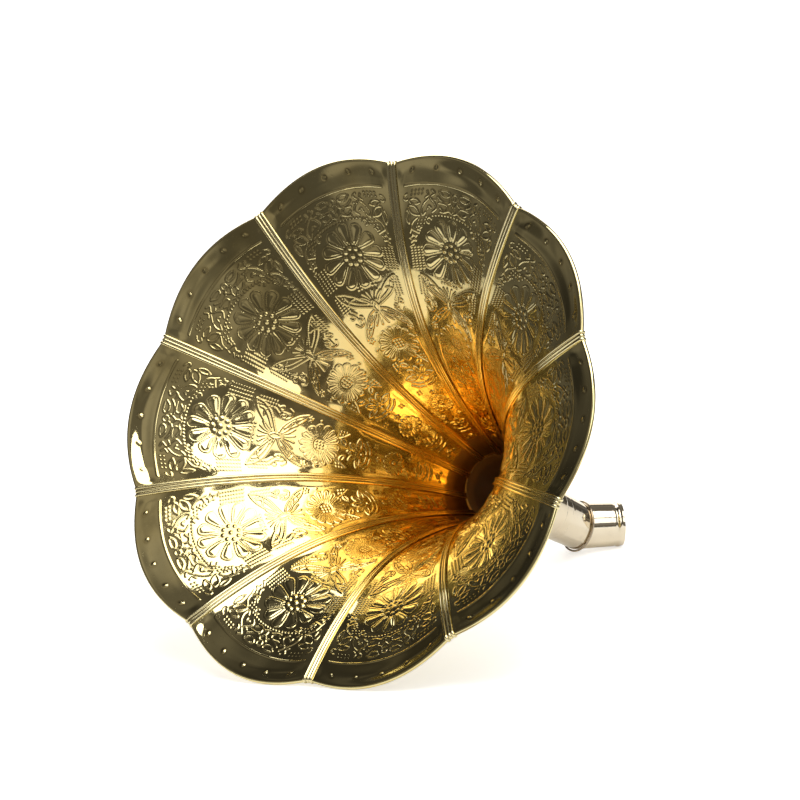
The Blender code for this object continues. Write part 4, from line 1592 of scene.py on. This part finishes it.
@dataclass
class Elbow:
    """Leg, mitre ring and spigot of the elbow; the frame's +Z runs up the leg from the neck's end."""

    place: Matrix
    wall: float = 0.0008
    clearance: float = 0.0003
    socket: float = 0.0300
    leg_radius: float = 0.0273
    leg_length: float = 0.0698
    mitre_radius: float = 0.0251
    bend: float = math.radians(50.0)
    heading: float = math.radians(17.0)
    spigot_length: float = 0.0488
    spigot_radius: float = 0.0236
    lip: float = 0.0030
    bead_length: float = 0.0040
    bead_height: float = 0.0008
    groove_length: float = 0.0030
    groove_depth: float = 0.0006
    seam_raise: float = 0.00038
    seam_half: float = 0.0019
    leg_seam_angle: float = math.radians(-52.0)
    spigot_seam_angle: float = math.radians(100.0)
    solder_radius: float = 0.0012
    solder_sides: int = 16
    solder_steps: int = 120
    solder_lift: float = 0.0004
    solder_darkening: float = 1.6
    sides: int = 160
    line_at: float = 0.0150
    line_depth: float = 0.0005

    def build(self) -> None:
        """Make the three pieces."""
        self.build_leg()
        self.build_spigot()
        self.build_ring()

    def lock_seam(self, tube: Tube, radius: np.ndarray, angle: float) -> np.ndarray:
        """Raise of a folded seam along a tube: a flat band, and a crease beside it.

        Args:
            tube: the tube.
            radius: radius of each point of a ring.
            angle: where the seam runs.

        Returns:
            Height of each point in metres.
        """
        away = tube.beside(angle, radius)
        crease = 0.00012 * np.exp(-((away - 0.004) / 0.0007) ** 2)
        return self.seam_raise * np.exp(-(away / self.seam_half) ** 8) + crease

    def build_leg(self) -> None:
        """Leg from inside the neck to the mitre."""
        tube = Tube("elbow_long_leg", self.sides)
        turn = tube.angles()
        cut = math.tan(0.5 * self.bend) * np.cos(turn - self.heading)

        def radius_at(height: np.ndarray) -> np.ndarray:
            """Outer radius at a height, narrowing below the neck's end, with one spun line.

            Args:
                height: height of each point of a ring.

            Returns:
                Radius of each point.
            """
            line = self.line_depth * np.exp(-((height + self.line_at) / 0.0005) ** 2)
            return self.leg_radius - line + np.clip(-height / self.leg_length, 0.0, 1.2) * (
                self.mitre_radius - self.leg_radius)

        stop = -self.leg_length + self.mitre_radius * cut + 0.5 * self.clearance
        inner_stop = stop - 0.35 * self.wall * cut
        outside, inside = [], []
        for height in np.linspace(self.socket, 0.0, 8):
            level = np.full(tube.sides, height)
            outside.append((radius_at(level), level, 0.0))
            inside.append((radius_at(level) - self.wall, level))
        spun = self.line_at / self.leg_length + np.linspace(-0.02, 0.02, 9)
        for share in np.sort(np.concatenate([np.linspace(0.03, 1.0, 26), spun])):
            level = share * stop
            seam = float(np.clip(share * 20.0, 0.0, 1.0))
            outside.append((radius_at(level), level, seam))
            inside.append((radius_at(level) - self.wall, share * inner_stop))
        rings_out = [tube.ring(r + seam * self.lock_seam(tube, r, self.leg_seam_angle), z)
                     for r, z, seam in outside]
        rings_in = [tube.ring(r, z) for r, z in reversed(inside)]
        piece = tube.build(rings_out, rings_in, self.place, TUBE_BRASS)
        # The inside rings get the painted shade tone of the tube's inside.
        numbers = [len(rings_out) * tube.sides, len(rings_in) * tube.sides]
        paint_value(piece, "depth", np.repeat([0.0, 1.0], numbers))
        hand_over(piece, Body.ELBOW, Slot.TUBE, "elbow_leg")

    def spigot_place(self) -> Matrix:
        """Matrix whose +Z is the spigot's direction, with its origin at the mitre's centre."""
        turn = Matrix.Rotation(self.heading, 4, "Z") @ Matrix.Rotation(math.pi - self.bend, 4, "Y")
        return self.place @ Matrix.Translation((0.0, 0.0, -self.leg_length)) @ turn

    def build_spigot(self) -> None:
        """Spigot from the mitre to its beaded end."""
        tube = Tube("elbow_short_spigot", self.sides)
        turn = tube.angles()
        begin = 0.5 * self.clearance - math.tan(0.5 * self.bend) * self.mitre_radius * np.cos(turn)
        bead_at = self.spigot_length - self.lip - 0.5 * self.bead_length
        groove_at = bead_at - 0.5 * self.bead_length - 0.5 * self.groove_length

        def radius_at(z: np.ndarray) -> np.ndarray:
            """Outer radius along the spigot.

            Args:
                z: place of each point of a ring.

            Returns:
                Radius of each point.
            """
            base = self.mitre_radius + np.clip(z / self.spigot_length, -0.4, 1.0) * (
                self.spigot_radius - self.mitre_radius)
            bead = self.bead_height * np.exp(-((z - bead_at) / (0.42 * self.bead_length)) ** 4)
            groove = self.groove_depth * np.exp(-((z - groove_at) / (0.40 * self.groove_length)) ** 4)
            return base + bead - groove

        outside, inside = [], []
        for share in np.linspace(0.0, 1.0, 60):
            z = begin + (self.spigot_length - begin) * share
            seam = np.clip((groove_at - 0.003 - z) / 0.001, 0.0, 1.0)
            outer = radius_at(z)
            fold = self.lock_seam(tube, outer, self.spigot_seam_angle) * seam
            outside.append(tube.ring(outer + fold, z))
            inside.append(tube.ring(outer - self.wall, z))
        piece = tube.build(outside[::-1], inside, self.spigot_place(), TUBE_BRASS)
        hand_over(piece, Body.ELBOW, Slot.TUBE, "elbow_spigot")

    def build_ring(self) -> None:
        """Round ring over the mitre."""
        lean = math.atan((self.leg_radius - self.mitre_radius) / self.leg_length)
        reach = self.mitre_radius + (self.solder_radius + self.solder_lift) / math.cos(0.5 * self.bend + lean)
        turn = np.linspace(0.0, FULL_TURN, self.solder_steps, endpoint=False)
        rise = reach * math.tan(0.5 * self.bend) * np.cos(turn - self.heading)
        points = np.stack([reach * np.cos(turn), reach * np.sin(turn), rise - self.leg_length], 1)
        path = path_piece("elbow_mitre_bead", points, True)
        wire_tree().use(path, {"Wire Radius": self.solder_radius, "Sides": self.solder_sides,
                               "Finish": TUBE_BRASS.material()})
        piece = settle(path, self.place)
        paint_value(piece, "grime", np.full(len(piece.data.vertices), self.solder_darkening))
        hand_over(piece, Body.ELBOW, Slot.TUBE, "mitre_ring")


# ---------------------------------------------------------------- the studio

@dataclass(frozen=True)
class SoftBox:
    """Square light that faces the horn; angles in degrees, sizes in metres."""

    name: str
    azimuth: float
    elevation: float
    distance: float
    width: float
    height: float
    glow: float


def toward(azimuth: float, elevation: float) -> Vector:
    """Direction from the horn to a place round it, in degrees from the front and above the floor."""
    turn, rise = math.radians(azimuth), math.radians(elevation)
    return Vector((math.sin(turn) * math.cos(rise), -math.cos(turn) * math.cos(rise), math.sin(rise)))


def facing_horn(aim: Vector, away: Vector, distance: float) -> Matrix:
    """Place of a camera or light at a distance from a point, turned to face it."""
    look = (-away).to_track_quat("-Z", "Y").to_matrix().to_4x4()
    return Matrix.Translation(aim + away * distance) @ look


@dataclass
class Studio:
    """Pale floor, soft lights and the camera."""

    azimuth: float = 34.543
    elevation: float = 10.111
    roll: float = 6.646
    distance: float = 3.2146
    aim: tuple[float, float, float] = (-0.0349, -0.0229, 0.2254)
    lens: float = 141.617
    table_edges: tuple[float, ...] = (-1.9, 1.3, -0.66, 1.7)
    table_glow: float = 0.15
    floor_glow: float = 0.55
    floor_radius: float = 14.0
    floor_corners: int = 96
    backdrop_radius: float = 13.0
    room_low: float = 0.08
    room_high: float = 0.06
    room_folds: float = 0.20
    room_color: Color = (1.0, 0.93, 0.84)
    wall_glow: float = 1.4
    dark_corner: tuple[float, float] = (-92.0, 40.0)
    light_aim: tuple[float, float, float] = (0.0, 0.0, 0.2)
    boxes: tuple[SoftBox, ...] = (
        SoftBox("overhead_box", 62.0, 68.0, 1.9, 1.9, 1.5, 3.5),
        SoftBox("right_box", 64.0, 28.0, 2.0, 1.9, 0.9, 1.6),
        SoftBox("left_box", -136.0, 42.0, 2.2, 1.3, 1.6, 2.6),
    )

    def build(self) -> None:
        """Set the stage up."""
        self.add_camera()
        self.add_floor()
        self.add_room()
        self.add_lights()
        bpy.context.scene.view_settings.view_transform = "Standard"
        bpy.context.scene.view_settings.look = "None"

    def add_camera(self) -> None:
        """Place the camera."""
        data = bpy.data.cameras.new("camera")
        data.lens = self.lens
        data.sensor_width = 36.0
        data.clip_end = 50.0
        camera = bpy.data.objects.new("camera", data)
        bpy.context.scene.collection.objects.link(camera)
        away = toward(self.azimuth, self.elevation)
        camera.matrix_world = (facing_horn(Vector(self.aim), away, self.distance)
                               @ Matrix.Rotation(math.radians(-self.roll), 4, "Z"))
        bpy.context.scene.camera = camera

    def add_floor(self) -> None:
        """Pale floor: a table that lights the horn, and a floor and backdrop that only the camera sees."""
        left, right, front, rear = self.table_edges
        corners = np.array([(left, front, 0.0), (right, front, 0.0), (right, rear, 0.0), (left, rear, 0.0)])
        table = new_piece("table_top", corners - (0.0, 0.0, 0.0006), [(0, 1, 2, 3)])
        table.data.materials.append(self.pale("pale_table", self.table_glow, self.table_glow))
        table.visible_camera = False
        around = new_piece("floor", self.disc(-0.0003), [tuple(range(self.floor_corners))])
        around.data.materials.append(self.pale("pale_floor", self.floor_glow, 1.0))
        backdrop = new_piece("backdrop", np.zeros((0, 3)), [])
        backdrop.data.materials.append(self.pale("pale_backdrop", 1.0, 1.0))
        form = bmesh.new()
        bmesh.ops.create_uvsphere(form, u_segments=48, v_segments=24, radius=self.backdrop_radius)
        bmesh.ops.reverse_faces(form, faces=form.faces)
        form.to_mesh(backdrop.data)
        form.free()
        for unseen in (around, backdrop):
            unseen.visible_glossy = False
            unseen.visible_diffuse = False
            unseen.visible_shadow = False

    def disc(self, height: float) -> np.ndarray:
        """Corners of the round floor.

        Args:
            height: its height.

        Returns:
            One row of X, Y and Z for each corner.
        """
        turn = np.linspace(0.0, FULL_TURN, self.floor_corners, endpoint=False)
        level = np.full(self.floor_corners, height)
        return np.stack([self.floor_radius * np.cos(turn), self.floor_radius * np.sin(turn), level], 1)

    def pale(self, name: str, near_glow: float, far_glow: float) -> bpy.types.Material:
        """White surface with some light of its own.

        Args:
            name: name of the material.
            near_glow: its own light near the horn.
            far_glow: its own light a metre and more away.

        Returns:
            The material.
        """
        made = bpy.data.materials.new(name)
        made.use_nodes = True
        graph = Graph(made.node_tree)
        shader = made.node_tree.nodes["Principled BSDF"]
        where = graph.add("ShaderNodeTexCoord").outputs["Object"]
        grain = graph.add("ShaderNodeTexNoise", None, {"Vector": where, "Scale": 6.0, "Detail": 2.0})
        stops = [(0.0, (0.90, 0.90, 0.895)), (1.0, (0.93, 0.93, 0.925))]
        tone = graph.add("ShaderNodeValToRGB", {"ramp": stops}, {"Fac": grain.outputs[0]})
        graph.tree.links.new(tone.outputs[0], shader.inputs["Base Color"])
        shader.inputs["Roughness"].default_value = 0.8
        shader.inputs["Specular IOR Level"].default_value = 0.1
        shader.inputs["Emission Strength"].default_value = 1.0
        away = graph.wire(graph.add("ShaderNodeVectorMath", {"operation": "LENGTH"}, {0: where}), "Value")
        glow = [(0.0, (near_glow,) * 3), (0.35, (near_glow,) * 3), (1.0, (far_glow,) * 3)]
        fade = graph.add("ShaderNodeValToRGB", {"ramp": glow}, {"Fac": away * 0.8})
        graph.tree.links.new(fade.outputs[0], shader.inputs["Emission Color"])
        return made

    def add_room(self) -> None:
        """Dim warm room with soft folds, a dark corner at the left, and a white wall behind the horn."""
        world = bpy.data.worlds.new("studio")
        bpy.context.scene.world = world
        world.use_nodes = True
        graph = Graph(world.node_tree)
        back = world.node_tree.nodes["Background"]
        where = graph.add("ShaderNodeTexCoord").outputs["Generated"]
        height = graph.split(where)[2]
        wall = graph.toward(where, toward(self.azimuth + 180.0, 8.0))
        corner = graph.toward(where, toward(*self.dark_corner))
        folds = graph.add("ShaderNodeTexNoise", None, {"Vector": where, "Scale": 2.4, "Detail": 1.5})
        level = self.room_low + height.fit(0.15, 0.95, 0.0, self.room_high)
        level = level + graph.wire(folds, 0).fit(0.42, 0.68, 0.0, self.room_folds)
        level = level * corner.fit(0.55, 0.92, 1.0, 0.25) + wall.fit(0.885, 0.915, 0.0, self.wall_glow)
        graph.tree.links.new(level.socket, back.inputs["Strength"])
        back.inputs["Color"].default_value = (*self.room_color, 1.0)

    def add_lights(self) -> None:
        """Soft boxes overhead, at the right, and high at the left behind the horn."""
        for box in self.boxes:
            data = bpy.data.lights.new(box.name, "AREA")
            data.shape = "RECTANGLE"
            data.size, data.size_y = box.width, box.height
            data.energy = box.glow * math.pi * box.width * box.height
            lamp = bpy.data.objects.new(box.name, data)
            bpy.context.scene.collection.objects.link(lamp)
            away = toward(box.azimuth, box.elevation)
            lamp.matrix_world = facing_horn(Vector(self.light_aim), away, box.distance)


def horn_place() -> Matrix:
    """Matrix from the horn's frame to the world, from the joint on its axis.

    Returns:
        The matrix.
    """
    joint = next(item for item in FRAME["joints"] if item["name"] == "horn_turn")
    tilt = math.asin(joint["axis"][2])
    turn = Euler((QUARTER_TURN - tilt, 0.0, 0.0)).to_matrix().to_4x4()
    return Matrix.Translation(joint["pos_m"]) @ turn


def main() -> None:
    """Build the horn and its studio."""
    logging.basicConfig(level=logging.INFO, format="%(name)s: %(message)s")
    flare = Flare()
    place = horn_place()
    Studio().build()
    Bell(flare, place).build()
    Neck(flare, place).build()
    Elbow(place).build()


if __name__ == "__main__":
    main()
